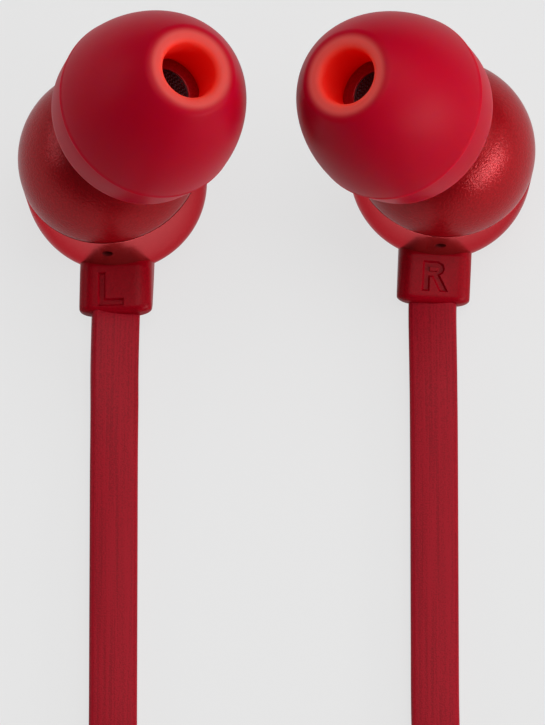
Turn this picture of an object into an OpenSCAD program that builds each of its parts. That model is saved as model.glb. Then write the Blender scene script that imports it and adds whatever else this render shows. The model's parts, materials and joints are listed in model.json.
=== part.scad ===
// Wired in-ear earphones: two earbuds on flat cords, an in-line remote on the right branch,
// a splitter, and a main cord that ends in a four-contact 3.5 mm plug. The buds lie on their
// backs, and the length of cord that isn't in use is wound into a flat oval coil, on edge.
// Frame: +Z up, +X from the left bud to the right one, -Y along the cords.
// The origin is under the middle of the two buds, on the surface that they lie on.

/* [Housing] */
// Outer diameter of the earbud housing
housing_d = 12.0; // [11.4:0.1:12.6]
// Wall of the front housing and the back cover
housing_wall = 0.8; // [0.7:0.05:0.9]
// Height of the seam above the back of the bud
seam_z = 6.0; // [5.6:0.1:6.4]
// Height of the plain band between the seam and the dome
band_h = 0.4; // [0.3:0.05:0.6]
// Diameter where the back cover's shoulder meets the back
back_d = 9.4; // [9.2:0.1:9.8]
// Height of the back cover's rounded shoulder
shoulder_h = 3.4; // [2.8:0.1:3.8]
// Diameter of the flat cap in the back
cap_d = 8.5; // [8:0.1:8.8]
// Thickness of the cap's rim
cap_t = 0.5; // [0.4:0.05:0.6]
// Diameter of the pressure vent in the back cover
vent_d = 0.7; // [0.5:0.1:1]
// How far the front housing's spigot reaches into the back cover
spigot_h = 0.9; // [0.6:0.1:1.2]

/* [Nozzle] */
// Lean of the nozzle from the housing's axis, in degrees
nozzle_angle = 30.6; // [26:0.2:32]
// Turn of the nozzle about the housing's axis, towards the cord, in degrees
nozzle_turn = 6.5; // [0:0.5:10]
// Height above the seam at which the nozzle's axis crosses the housing's
nozzle_rise = 2.2; // [1:0.1:2.4]
// Outer diameter of the nozzle
nozzle_d = 4.4; // [4.2:0.1:4.5]
// Diameter of the lip that holds the ear tip
lip_d = 5.0; // [4.9:0.05:5.2]
// Bore of the nozzle
nozzle_bore = 3.2; // [2.8:0.1:3.4]
// Distance from the axes' crossing to the end of the nozzle
nozzle_end = 10.4; // [10:0.1:11]
// Distance from the axes' crossing to the collar that stops the ear tip
collar_end = 5.5; // [5.4:0.1:5.8]

/* [Ear tip] */
// Largest diameter of the ear tip
tip_d = 12.5; // [11.6:0.1:13.2]
// Height of the dome's full curve above the largest diameter
dome_h = 8.55; // [8.2:0.05:9.4]
// Height at which the dome turns into the rounded mouth
mouth_z = 7.0; // [6.6:0.1:7.2]
// Length of the skirt behind the largest diameter
skirt_h = 2.6; // [2:0.1:3]
// Diameter of the skirt's rim
skirt_d = 11.7; // [11:0.1:12]
// Wall of the dome and the skirt
tip_wall = 0.55; // [0.45:0.05:0.65]
// Bore of the mouth
mouth_bore = 3.7; // [3.2:0.1:4]
// Wall of the inner sleeve that grips the nozzle
sleeve_wall = 0.55; // [0.45:0.05:0.7]
// How far the left ear tip stands off the collar
left_pull = 1.3; // [0.1:0.1:2]
// How far the right ear tip stands off the collar
right_pull = 1.3; // [0.1:0.1:2]

/* [Driver] */
// How much narrower the driver is than the housing
driver_inset = 2.7; // [2.6:0.05:2.9]
// Height of the driver's frame ring
frame_h = 1.8; // [1.6:0.1:2]
// Diameter of the magnet
magnet_d = 4.0; // [3.6:0.1:4.1]
// Height of the magnet
magnet_h = 0.9; // [0.7:0.1:1]
// Radial thickness of the voice coil
winding_t = 0.2; // [0.15:0.01:0.22]
// Free gap on each side of the voice coil
magnet_gap = 0.14; // [0.1:0.01:0.18]
// Travel of the diaphragm each way
driver_travel = 0.15; // [0.1:0.01:0.2]

/* [Cord] */
// Width of the flat cord
cord_w = 3.15; // [2.8:0.05:3.4]
// Thickness of the flat cord
cord_t = 1.1; // [0.9:0.05:1.2]
// Width of the strain relief
relief_w = 4.8; // [4.4:0.1:5.4]
// Height of the strain relief against the back cover
relief_h = 2.55; // [2.4:0.05:3]
// Height of the strain relief where the cord leaves it
relief_end_h = 1.85; // [1.7:0.05:2.2]
// Distance from the housing's axis to the strain relief's end
relief_reach = 9.05; // [8.8:0.05:9.6]

/* [Coil] */
// Step between one turn of the main cord and the next
turn_step = 1.6; // [1.6:0.05:1.8]
// Inner radius of the coil's round ends
inner_r = 7.8; // [7.6:0.1:8.4]
// Length of the coil's straight runs
run = 30; // [29:0.5:34]
// Clear height between the coil's two layers
layer_gap = 0.45; // [0.45:0.05:0.8]

/* [Remote] */
// Length of the remote
remote_l = 22; // [20:0.5:24]
// Height of the remote, on edge
remote_h = 4.4; // [4.4:0.1:4.8]
// Thickness of the remote
remote_t = 4.2; // [4:0.1:4.4]
// Wall of the remote's two shells
remote_wall = 0.6; // [0.5:0.05:0.7]
// Length of the button
button_l = 8; // [6:0.5:9]
// Height of the button
button_h = 2.4; // [2:0.1:2.6]
// Travel of the button
button_travel = 0.25; // [0.15:0.05:0.3]

/* [Splitter] */
// Length of the splitter
splitter_l = 15; // [13:0.5:16]
// Thickness of the splitter where the two branches go in
splitter_t = 3.8; // [3.6:0.1:3.9]

/* [Plug] */
// Diameter of the plug's contacts
pin_d = 3.5; // [3.5:0.05:3.5]
// Length of the plug's pin
pin_l = 14; // [13.5:0.5:14.5]
// Diameter of the plug's handle
handle_d = 6; // [5.6:0.1:6.2]
// Length of the plug's handle
handle_l = 12; // [11:0.5:13]
// Length of the plug's ribbed strain relief
boot_l = 6.4; // [5.6:0.4:7.2]
// Gap between the contacts
band_gap = 0.7; // [0.5:0.1:0.8]

/* [Tie] */
// Width of the tie round the coil
tie_w = 4; // [3:0.5:5]
// Thickness of the tie
tie_t = 0.45; // [0.3:0.05:0.5]

/* [Pose] */
// Distance between the two buds
bud_spacing = 20.7; // [20:0.1:22]
// Outward lean of the left bud, in degrees
left_lean = 7.8; // [-2:0.1:9]
// Outward lean of the right bud, in degrees
right_lean = 4.2; // [-2:0.1:9]
// How far the left bud tips back, away from its cord, in degrees
left_tip_back = 1.6; // [-4:0.1:4]
// How far the right bud tips back, away from its cord, in degrees
right_tip_back = -3.3; // [-4:0.1:4]
// Turn of the left bud seen from above, in degrees
left_turn = -1.6; // [-3:0.1:3]
// Turn of the right bud seen from above, in degrees
right_turn = -2.1; // [-4:0.1:3]
// How far the left bud lies ahead of the right one
left_ahead = 1.3; // [0:0.1:1.6]
// How far the housings' axes lie behind the origin
buds_back = 1.6; // [1.4:0.05:1.9]

/* [Hidden] */
$fn = 72;
eps = 0.01;      // overlap of solids that are joined
fit = 0.05;      // radial clearance of pieces that seat in each other
edge = 0.12;     // broken edge along a seam

// Finishes, as the maker would name them
moulded_red = "#8c1620";
satin_red = "#c24a50";
silicone_red = "#b3202f";
cord_red = "#8e181f";
rubber_red = "#6d1118";
steel = "#a8a9ad";
black = "#1d1d20";
copper = "#b87333";
gold = "#d6ad5a";
board_green = "#1f5b3a";
film = "#d9d4c4";

// ---- Housing, in the bud's own frame: +Z along its axis, its back at 0, nozzle towards +X ----
housing_r = housing_d / 2;
cavity_r = housing_r - housing_wall;
dome_z = seam_z + band_h;
nozzle_z = seam_z + nozzle_rise;
driver_r = (housing_d - driver_inset) / 2;
driver_bore = driver_r + fit;
ledge_z = seam_z + 2;
ledge_t = 0.6;
ledge_bore = driver_r - 0.5;
floor_z = 0.9;                                  // inside face of the back cover's floor
floor_bore = cap_d / 2 - 0.35;                  // opening that the cap's boss plugs
cap_boss_z = floor_z - 0.2;
lip_l = 0.7;
mesh_t = 0.3;
mesh_r = nozzle_bore / 2 + 0.3;
collar_d = 6.3;

// ---- Driver, from its grille down ----
grille_t = 0.2;
frame_top = ledge_z - grille_t;
frame_z = frame_top - frame_h;
frame_wall = 0.4;
plate_t = 0.35;
plate_r = magnet_d / 2 + 0.12;
winding_r = plate_r + magnet_gap;
yoke_bore = winding_r + winding_t + magnet_gap;
yoke_wall = 0.4;
yoke_r = yoke_bore + yoke_wall;
plate_top = frame_z + 0.75;
magnet_z = plate_top - plate_t - magnet_h;
yoke_floor = 0.5;
yoke_z = magnet_z - yoke_floor;
board_t = 0.4;
film_t = 0.12;
film_z = plate_top + 0.4;
film_r = driver_r - frame_wall - 0.1;
winding_h = 1;

// ---- Ear tip, in its own frame: +Z towards the ear, its largest diameter at 0 ----
tip_r = tip_d / 2;
sleeve_bore = lip_d / 2 + fit;
sleeve_r = sleeve_bore + sleeve_wall;
sleeve_back = -0.8;
sleeve_step = nozzle_end - collar_end + sleeve_back + 0.1;
mouth_r = mouth_bore / 2;
tip_curve = 1.6;                                // exponent of the dome's curve
function dome_r(z) = tip_r * sqrt(1 - pow(z / dome_h, tip_curve));
function skirt_r(z) = tip_r - (tip_r - skirt_d / 2) * pow(-z / skirt_h, 1.5);
function wall_r(z) = z < 0 ? skirt_r(z) : dome_r(z);
mouth_edge = dome_r(mouth_z);
mouth_angle = 43;                               // where the dome's curve meets the mouth's
mouth_round = (mouth_edge - mouth_r) / (1 + cos(mouth_angle));
mouth_mid = [mouth_r + mouth_round, mouth_z - mouth_round * sin(mouth_angle)];
hollow_z = 5.8;                                 // end of the hollow between dome and sleeve

// ---- Buds on the surface ----
function lift(lean, back) = back_d / 2 * sqrt(1 - pow(cos(lean) * cos(back), 2));
bud_shift = dome_z * (sin(left_lean) - sin(right_lean)) / 2 + 0.06;
left_at = [-bud_spacing / 2 + bud_shift, buds_back - left_ahead / 2,
           lift(left_lean, left_tip_back)];
right_at = [bud_spacing / 2 + bud_shift, buds_back + left_ahead / 2,
            lift(right_lean, right_tip_back)];
function tipped(v, a) = [v.x, v.y * cos(a) + v.z * sin(a), -v.y * sin(a) + v.z * cos(a)];
function leaned(v, a) = [v.x * cos(a) + v.z * sin(a), v.y, -v.x * sin(a) + v.z * cos(a)];
function turned(v, a) = [v.x * cos(a) - v.y * sin(a), v.x * sin(a) + v.y * cos(a), v.z];
function left_dir(v) = turned(leaned(tipped(v, left_tip_back), -left_lean), left_turn);
function right_dir(v) =
    turned(leaned(tipped([-v.x, v.y, v.z], right_tip_back), right_lean), right_turn);
function on_left(v) = left_at + left_dir(v);
function on_right(v) = right_at + right_dir(v);
relief_low = 0.15;                              // underside of the strain relief
relief_mid = relief_low + 0.95;                 // middle of the cord in the strain relief
cord_in = 0.7;                                  // how far the cord reaches into the relief
cord_start = [0, -relief_reach + cord_in, relief_mid];
cord_exit = [0, -relief_reach - 0.2, relief_mid];

// ---- Coil: N is its round end near the buds, S its far end; turns run clockwise ----
coil_x = -1.2;
north_y = -71;
south_y = north_y - run;
lower_z = remote_h / 2;                         // the remote and the splitter carry the coil
upper_z = lower_z + cord_w + layer_gap;
strand_step = 1.7;                              // between the two branches, side by side
clear = 0.45;                                   // least gap between strands and pieces
main_halves = 6;                                // half turns in, then out
main_start_r = inner_r + turn_step * 3.5;
splitter_r = inner_r + turn_step * 2.5 + cord_t / 2 + clear + splitter_t / 2;
left_west_r = splitter_r + splitter_t / 2 + clear + cord_t / 2 + 0.1;
pair_step = left_west_r - (splitter_r - strand_step / 2);
left_start_r = left_west_r + pair_step * 0.75;
remote_r = left_west_r + cord_t / 2 + clear + remote_t / 2;
remote_bump = remote_r - left_west_r - strand_step;
plug_r = 16.4;
plug_z = lower_z + cord_w / 2 + handle_d / 2 + 0.05;
splitter_y = south_y + 6;
remote_y = south_y + (run - remote_l) / 2;
rings_per_half = 12;

// t counts half turns from the west side, going over the north end first
function smooth(x) = let (c = min(max(x, 0), 1)) c * c * (3 - 2 * c);
function lerp(a, b, x) = a + (b - a) * x;
function coil_point(half, part, r, z) =
    let (a = 180 - 180 * (half + part), y = half % 2 == 0 ? north_y : south_y)
    [coil_x + r * cos(a), y + r * sin(a), z];
function left_r(t) = left_start_r - pair_step * (t - 0.5) / 2;
function bump(t) = remote_bump * (t < 2 ? smooth(t - 1) : 1 - smooth((t - 2) * 2));
function right_r(t) = left_r(t) + strand_step + bump(t);
function in_r(t) = inner_r + turn_step / 2 * (main_halves - t + 1 - smooth(t - main_halves + 1));
function out_r(t) = inner_r + turn_step / 2 * (t + smooth(t));
turn_out = main_halves + 1;                     // the climb takes the half turn before this
turn_end = turn_out + main_halves - 1;
function main_r(t) =
    t <= main_halves ? in_r(t) + (splitter_r - in_r(0)) * (1 - smooth(t / 2))
    : t <= turn_out ? inner_r
    : t <= turn_end ? out_r(t - turn_out)
    : lerp(out_r(turn_end - turn_out), plug_r, smooth(t - turn_end));
function main_z(t) =
    t <= main_halves ? lower_z
    : t <= turn_end ? lerp(lower_z, upper_z, smooth(t - main_halves))
    : lerp(upper_z, plug_z, smooth(t - turn_end));
function left_turns() = [
    [coil_x - cord_w, north_y + left_r(0.5), lower_z],
    for (half = [0:3], k = [0:rings_per_half])
        let (t = half + k / rings_per_half)
        if (t >= 0.5) coil_point(half, k / rings_per_half, left_r(t), lower_z),
    [coil_x - left_r(4), splitter_y, lower_z]
];
function right_turns() = [
    coil_point(0, 1, right_r(1), lower_z),
    for (k = [0:rings_per_half])
        coil_point(1, k / rings_per_half, right_r(1 + k / rings_per_half), lower_z),
    [coil_x - right_r(2), remote_y, lower_z]
];
function remote_turns() = [
    [coil_x - right_r(2), remote_y + remote_l, lower_z],
    for (half = [2:3], k = [0:rings_per_half])
        coil_point(half, k / rings_per_half, right_r(half + k / rings_per_half), lower_z),
    [coil_x - right_r(4), splitter_y, lower_z]
];
function main_turns() = [
    [coil_x - splitter_r, splitter_y + splitter_l, lower_z],
    for (half = [0:turn_end], k = [0:rings_per_half])
        let (t = half + k / rings_per_half)
        coil_point(half, k / rings_per_half, main_r(t), main_z(t))
];

// ---- Free stretches: route points [x, y, z, roll], from each strain relief to the coil ----
// Roll of the flat cord that lies level with a bud whose sideways axis is x_axis
function roll_of(d, x_axis) =
    let (side = unit([d.y, -d.x, 0]), up = cross(side, d)) atan2(-up * x_axis, -side * x_axis);
left_down = left_dir([0, -1, 0]);
right_down = right_dir([0, -1, 0]);
left_roll = roll_of(left_down, left_dir([1, 0, 0]));
right_roll = roll_of(right_down, right_dir([-1, 0, 0]));
function row(p, roll) = [p.x, p.y, p.z, roll];
half_t = cord_t / 2;
left_route = [
    row(on_left(cord_start), left_roll), row(on_left(cord_exit), left_roll),
    [-10.6, -11.4, 1.35, -6.5], [-10.6, -14, 0.85, -3], [-10.62, -18, half_t, 0],
    [-10.62, -24, half_t, 0], [-10.62, -30, half_t, 0], [-10.62, -36, half_t, 0],
    [-10.62, -39, 0.7, 4], [-10.55, -42, 1.4, 22], [-10.3, -44.8, 1.9, 44],
    [-9.5, -47.4, 2.2, 66], [-7.4, -49.6, 2.2, 84]
];
right_route = [
    row(on_right(cord_start), right_roll), row(on_right(cord_exit), right_roll),
    [10.35, -11.4, 0.8, 2], [10.37, -14, 0.62, 0], [10.38, -18, half_t, 0],
    [10.38, -24, half_t, 0], [10.38, -30, half_t, 0], [10.4, -36, half_t, 0],
    [10.5, -39, 0.7, 4], [11.1, -42.5, 1.3, 20], [12.8, -47, 1.9, 46],
    [15.4, -52, 2.2, 72], [17.8, -57, 2.2, 86], [19.3, -62, 2.2, 90],
    [20.1, -67, 2.2, 90]
];

// ---- Sweeps ----
function unit(v) = v / norm(v);
function span(path, i) = path[min(i + 1, len(path) - 1)] - path[max(i - 1, 0)];
function flat(p) = [p.x, p.y, p.z];
// Section of the flat cord, [across its width, through its thickness]: 8 sides, or 6 in a coil
function strip8(w, t) = [
    for (s = [[1, 0.45], [0.72, 1], [-0.72, 1], [-1, 0.45], [-1, -0.45], [-0.72, -1],
              [0.72, -1], [1, -0.45]]) [s.x * w / 2, s.y * t / 2]
];
function strip6(w, t) = [
    for (s = [[1, 0], [0.78, 1], [-0.78, 1], [-1, 0], [-0.78, -1], [0.78, -1]])
        [s.x * w / 2, s.y * t / 2]
];
// A ring of the section at p, square to dir; roll turns its width from level to upright
function ring(p, dir, roll, section) =
    let (d = unit(dir), side = unit([d.y, -d.x, 0]), up = cross(side, d),
         wide = side * cos(roll) + up * sin(roll), thick = cross(d, wide))
    [for (s = section) p + wide * s.x + thick * s.y];
// A sweep along a route whose rows are [x, y, z, roll]; its last ring faces the coil
module free_run(route, first_dir, coil_path) {
    path = [for (r = route) flat(r)];
    rolls = [for (r = route) r[3]];
    n = 8;
    last = len(path);
    section = strip8(cord_w, cord_t);
    all_points = concat(path, [coil_path[0]]);
    function dir_at(i) = i == 0 ? first_dir : i == last ? coil_path[1] - coil_path[0]
        : span(all_points, i);
    points = [
        for (i = [0:last]) each ring(all_points[i], dir_at(i), i == last ? 90 : rolls[i], section)
    ];
    skin(points, n, last);
}
module skin(points, n, last) {
    sides = [
        for (i = [0:last - 1], k = [0:n - 1])
            let (a = i * n + k, b = i * n + (k + 1) % n)
            each [[a, b + n, b], [a, a + n, b + n]]
    ];
    caps = [for (k = [1:n - 2]) each [[0, k, k + 1], [last * n, last * n + k + 1, last * n + k]]];
    polyhedron(points = points, faces = concat(sides, caps));
}
// A coil on edge; its rings stand square to the path
module wound(path) {
    section = strip6(cord_w, cord_t);
    last = len(path) - 1;
    points = [for (i = [0:last]) each ring(path[i], span(path, i), 90, section)];
    skin(points, 6, last);
}
// Least gap between two strands whose points are more than `skip` apart
function least_gap(a, b, skip) = min([
    for (i = [0:len(a) - 1], j = [0:len(b) - 1]) if (skip == 0 || j - i > skip) norm(a[i] - b[j])
]) - cord_t;
echo(main_gap = least_gap(main_turns(), main_turns(), 16));
echo(left_gap = least_gap(left_turns(), left_turns(), 16));
echo(remote_gap = least_gap(remote_turns(), remote_turns(), 16));
echo(pair_gap = least_gap(left_turns(), remote_turns(), 0));

// ---- 2D helpers ----
// Rectangle with rounded corners, centred
module round_rect(w, h, r) {
    square([w - 2 * r, h], center = true);
    square([w, h - 2 * r], center = true);
    for (x = [-1, 1], y = [-1, 1]) translate([x * (w / 2 - r), y * (h / 2 - r)]) circle(r, $fn = 32);
}
module tube(r_out, r_in, z0, z1) {
    difference() {
        translate([0, 0, z0]) cylinder(r = r_out, h = z1 - z0);
        translate([0, 0, z0 - 1]) cylinder(r = r_in, h = z1 - z0 + 2);
    }
}
module rod(r, z0, z1) {
    translate([0, 0, z0]) cylinder(r = r, h = z1 - z0);
}
// A thin round wire from a to b
module wire(a, b, r) {
    v = b - a;
    translate(a) rotate([0, acos(v.z / norm(v)), atan2(v.y, v.x)])
        cylinder(r = r, h = norm(v), $fn = 24);
}

// ---- Places ----
module place_left() {
    translate(left_at) rotate([0, 0, left_turn]) rotate([0, -left_lean, 0])
        rotate([-left_tip_back, 0, 0]) children();
}
module place_right() {
    translate(right_at) rotate([0, 0, right_turn]) rotate([0, right_lean, 0])
        rotate([-right_tip_back, 0, 0]) mirror([1, 0, 0]) children();
}
// Nozzle's frame: +Z along the nozzle, 0 where its axis crosses the housing's
module on_nozzle() {
    translate([0, 0, nozzle_z]) rotate([0, nozzle_angle, -nozzle_turn]) children();
}

// ---- Ear tip ----
tip_seat = collar_end - sleeve_back;            // ring plane of a tip pushed home
module tip_profile() {
    dome_steps = 16;
    polygon(concat(
        [for (i = [0:5]) let (z = -skirt_h + skirt_h * i / 6) [skirt_r(z), z]],
        [for (i = [0:dome_steps]) let (z = mouth_z * i / dome_steps) [dome_r(z), z]],
        [for (a = [60:20:180]) mouth_mid + mouth_round * [cos(a), sin(a)]],
        [[mouth_r, sleeve_step], [sleeve_bore, sleeve_step - 0.2], [sleeve_bore, sleeve_back],
         [sleeve_r, sleeve_back], [sleeve_r, hollow_z - 0.9]],
        [for (i = [0:8]) let (z = hollow_z - 0.45 - (hollow_z - 0.45) * i / 8)
            [dome_r(z) - tip_wall * (i == 0 ? 1.25 : 1), z]],
        [for (i = [1:5]) let (z = -skirt_h * i / 6) [skirt_r(z) - tip_wall, z]],
        [[skirt_r(-skirt_h) - tip_wall, -skirt_h]]
    ));
}
module ear_tip(pull) {
    on_nozzle() translate([0, 0, tip_seat + pull]) rotate_extrude() tip_profile();
}
module nozzle_mesh() {
    on_nozzle() difference() {
        rod(mesh_r, nozzle_end - mesh_t, nozzle_end);
        for (ring = [0.55, 1.1], a = [0:60:300]) rotate([0, 0, a + ring * 55])
            translate([ring, 0, nozzle_end - 1]) cylinder(d = 0.35, h = 2, $fn = 24);
    }
}

// ---- Housing ----
module front_housing() {
    difference() {
        union() {
            rod(housing_r, seam_z, dome_z);
            intersection() {
                translate([0, 0, dome_z]) sphere(r = housing_r);
                rod(housing_r + 1, dome_z, dome_z + housing_r + 1);
            }
            rod(cavity_r - fit, seam_z - spigot_h, seam_z + 0.3);
            on_nozzle() {
                rod(collar_d / 2, 3, collar_end);
                rod(nozzle_d / 2, 3, nozzle_end);
                rod(lip_d / 2, nozzle_end - lip_l, nozzle_end);
            }
        }
        rod(driver_bore, seam_z - spigot_h - 1, ledge_z);
        rod(ledge_bore, seam_z, ledge_z + ledge_t);
        intersection() {
            translate([0, 0, dome_z]) sphere(r = cavity_r);
            rod(housing_r, ledge_z + ledge_t, dome_z + housing_r);
        }
        on_nozzle() {
            rod(nozzle_bore / 2, 2.6, nozzle_end + 1);
            rod(mesh_r + 0.02, nozzle_end - mesh_t, nozzle_end + 1);
        }
    }
}
module shoulder(r, low_r, z0, h) {
    steps = 6;
    rotate_extrude() polygon(concat(
        [[0, z0], [low_r, z0]],
        [for (i = [1:steps]) let (a = 90 * i / steps)
            [low_r + (r - low_r) * sin(a), z0 + h * (1 - cos(a))]],
        [[r, seam_z], [0, seam_z]]
    ));
}
module cover_outside() { shoulder(housing_r, back_d / 2, 0, shoulder_h); }
vent_at = [-0.15, relief_low + relief_h + 1.8];
tab_w = 3.6;
tab_h = 1.4;
tab_z = 1.05;
tab_in = 1.5;
module back_cover() {
    difference() {
        cover_outside();
        shoulder(cavity_r, back_d / 2 - 0.1, floor_z, shoulder_h - 0.4);
        rod(cavity_r, seam_z - 1, seam_z + 1);
        rod(cap_d / 2 + 0.02, -1, cap_t);
        rod(floor_bore, -1, floor_z + 1);
        translate([-tab_w / 2, -housing_r - 1, tab_z]) cube([tab_w, 3, tab_h]);
        translate([vent_at.x, 0, vent_at.y]) rotate([90, 0, 0])
            cylinder(d = vent_d, h = housing_r + 1, $fn = 24);
    }
}
module back_cap() {
    rod(cap_d / 2, 0, cap_t);
    rod(floor_bore - 0.02, cap_t - eps, cap_boss_z);
}
// Section across the cord's run, square to X: [how far its end is set back, its share of height]
function relief_ring(x, back, share) =
    let (mid = relief_low + 1, end = -relief_reach + back,
         lift_to = function (z) mid + (relief_low + z - mid) * share)
    [for (p = [
        [-4.2, 0], [-4.2, relief_h], [-housing_r, relief_h], [end + 0.5, relief_end_h],
        [end + 0.15, relief_end_h - 0.25], [end, relief_end_h - 0.6], [end + 0.2, 0.8],
        [end + 0.5, 0.35], [-6.2, 0]]) [x, p.x, lift_to(p.y)]];
relief_edge = [[1, 0.5, 0.3], [0.94, 0.2, 0.68], [0.81, 0.1, 0.9], [0.6, 0.04, 1]];
module strain_relief() {
    rings = concat(
        [for (e = relief_edge) relief_ring(-e[0] * relief_w / 2, e[1], e[2])],
        [relief_ring(0, 0, 1)],
        [for (i = [3:-1:0]) let (e = relief_edge[i]) relief_ring(e[0] * relief_w / 2, e[1], e[2])]);
    difference() {
        skin([for (r = rings) each r], 9, 8);
        cover_outside();
        // pocket that the cord is moulded into
        translate([0, -relief_reach + cord_in, relief_mid]) rotate([90, 0, 0])
            linear_extrude(3) polygon(strip8(cord_w, cord_t));
    }
    // tab in the back cover's slot
    translate([-tab_w / 2, -housing_r - 0.4, tab_z]) cube([tab_w, tab_in + 0.4, tab_h]);
}

// ---- Driver ----
module driver_grille() {
    difference() {
        rod(driver_r, frame_top, ledge_z);
        for (a = [0:45:315]) rotate([0, 0, a]) translate([2.3, 0, 0])
            rod(0.45, frame_top - 1, ledge_z + 1);
        rod(0.6, frame_top - 1, ledge_z + 1);
    }
}
module driver_frame() {
    difference() {
        rod(driver_r, frame_z, frame_top);
        rod(driver_r - frame_wall, frame_z + 0.4, frame_top + 1);
        rod(yoke_r, frame_z - 1, frame_top);
        for (a = [0:60:300]) rotate([0, 0, a]) translate([(yoke_r + driver_r) / 2, 0, 0])
            cylinder(d = 0.6, h = 20, $fn = 24);
    }
}
module driver_yoke() {
    difference() {
        rod(yoke_r, yoke_z, plate_top);
        rod(yoke_bore, yoke_z + yoke_floor, plate_top + 1);
    }
}
module driver_magnet() { rod(magnet_d / 2, magnet_z, magnet_z + magnet_h); }
module top_plate() { rod(plate_r, plate_top - plate_t, plate_top); }
module voice_coil() { tube(winding_r + winding_t, winding_r, film_z - winding_h, film_z); }
module diaphragm() {
    rise = frame_top - driver_travel - 0.05 - film_z - film_t;
    rotate_extrude() polygon(concat(
        [[0, film_z + rise], [0, film_z + rise + film_t]],
        [for (a = [75:-15:0]) [winding_r * cos(a), film_z + film_t + rise * sin(a)]],
        [[film_r, film_z + film_t], [film_r, film_z]],
        [for (a = [0:15:75]) [(winding_r - 0.02) * cos(a), film_z + rise * sin(a)]]
    ));
}
module rear_damper() { tube(driver_r - 0.2, yoke_r + 0.02, frame_z - 0.25, frame_z); }
module terminal_board() {
    difference() {
        rod(2.6, yoke_z - board_t, yoke_z);
        for (x = [-1, 1]) translate([x, -1.7, 0]) cylinder(d = 0.5, h = 20, $fn = 24);
    }
}
module lead_wires() {
    for (x = [-1, 1])
        wire([x * 0.6, -housing_r + tab_in, tab_z + tab_h / 2], [x, -1.1, yoke_z - board_t], 0.15);
}

// ---- Remote, along the coil's west run; its button faces out ----
remote_x = coil_x - remote_r;
button_reach = 0.35;
board_x = 0.35;                                 // the board's outer face, from the middle
module on_remote() { translate([remote_x, remote_y, remote_h / 2]) children(); }
module bar(w, h, r) {
    rotate([-90, 0, 0]) linear_extrude(remote_l) round_rect(w, h, r);
}
module remote_solid() {
    intersection() {
        bar(remote_t, remote_h, 1.3);
        translate([0, remote_l / 2, -5]) linear_extrude(10) round_rect(remote_t, remote_l, 0.9);
    }
}
module remote_hollow() {
    translate([0, remote_wall, 0]) rotate([-90, 0, 0]) linear_extrude(remote_l - 2 * remote_wall)
        round_rect(remote_t - 2 * remote_wall, remote_h - 2 * remote_wall, 0.7);
}
module remote_front_shell() {
    color(satin_red) on_remote() difference() {
        intersection() {
            remote_solid();
            translate([-5, -1, -5]) cube([5, remote_l + 2, 10]);
        }
        remote_hollow();
        translate([-5, remote_l / 2, 0]) rotate([0, 90, 0]) linear_extrude(5)
            round_rect(button_h + 2 * fit, button_l + 2 * fit, 0.8);
        translate([-5, 3.4, 0]) rotate([0, 90, 0]) cylinder(d = 0.7, h = 5, $fn = 24);
    }
}
module remote_back_shell() {
    color(satin_red) on_remote() difference() {
        intersection() {
            remote_solid();
            translate([0, -1, -5]) cube([5, remote_l + 2, 10]);
        }
        remote_hollow();
    }
}
module remote_button() {
    color(black) on_remote() translate([0, remote_l / 2, 0]) {
        translate([-remote_t / 2 - button_reach, 0, 0]) rotate([0, 90, 0])
            linear_extrude(button_reach + remote_wall) round_rect(button_h, button_l, 0.75);
        translate([-remote_t / 2 + remote_wall - eps, 0, 0]) rotate([0, 90, 0])
            linear_extrude(0.3 + eps) round_rect(button_h, button_l, 0.75);
    }
}
module remote_board() {
    color(board_green) on_remote()
        translate([board_x, remote_wall, -1.3]) cube([0.5, remote_l - 2 * remote_wall, 2.6]);
}
module remote_switch() {
    gap = remote_t / 2 - remote_wall - 0.3;     // from the button's inner face to the middle
    color(steel) on_remote() translate([board_x, remote_l / 2, 0]) rotate([0, -90, 0])
        cylinder(r = 1.1, h = gap + board_x - button_travel - 0.1);
}
module microphone() {
    color(steel) on_remote() translate([board_x, 3.4, 0]) rotate([0, -90, 0])
        cylinder(r = 1.0, h = 1);
}

// ---- Splitter ----
module splitter() {
    color(rubber_red) translate([coil_x - splitter_r, splitter_y, remote_h / 2]) intersection() {
        translate([0, 0, -remote_h / 2]) linear_extrude(remote_h) polygon([
            [-splitter_t / 2, 1], [-splitter_t / 2 + 0.5, 0], [splitter_t / 2 - 0.5, 0],
            [splitter_t / 2, 1], [splitter_t / 2, 8], [1.2, splitter_l], [-1.2, splitter_l],
            [-splitter_t / 2, 8]]);
        translate([0, -1, 0]) rotate([-90, 0, 0]) linear_extrude(splitter_l + 2)
            round_rect(splitter_t, remote_h, 0.6);
    }
}

// ---- Plug: its own +Z runs from the cord to the tip ----
module on_plug() {
    translate([coil_x + plug_r, north_y, plug_z]) rotate([90, 0, 0]) children();
}
pin_r = pin_d / 2;
core_r = 0.85;
shank = boot_l + handle_l;                      // where the pin comes out of the handle
pin_end = shank + pin_l;
tip_len = 3.6;
ring_len = 1.9;
upper_ring_z = pin_end - tip_len - band_gap - ring_len;
lower_ring_z = upper_ring_z - band_gap - ring_len;
module plug_handle() {
    color(satin_red) on_plug() rotate_extrude() polygon([
        [1.3, boot_l], [handle_d / 2 - 0.3, boot_l], [handle_d / 2, boot_l + 0.3],
        [handle_d / 2, shank - 0.6], [handle_d / 2 - 0.5, shank],
        [1.3, shank]
    ]);
}
module plug_boot() {
    color(rubber_red) on_plug() {
        difference() {
            cylinder(r1 = 2.4, r2 = 2.7, h = boot_l);
            for (i = [0:2]) tube(4, 2.15, 1.4 + i * 1.6, 2.1 + i * 1.6);
        }
        rod(1.28, boot_l - eps, boot_l + 3);
    }
}
module plug_core() {
    color(black) on_plug() {
        rod(core_r, shank - 3, pin_end - 2);
        for (z = [lower_ring_z - band_gap, upper_ring_z - band_gap, pin_end - tip_len - band_gap])
            rod(pin_r, z, z + band_gap);
    }
}
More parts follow.
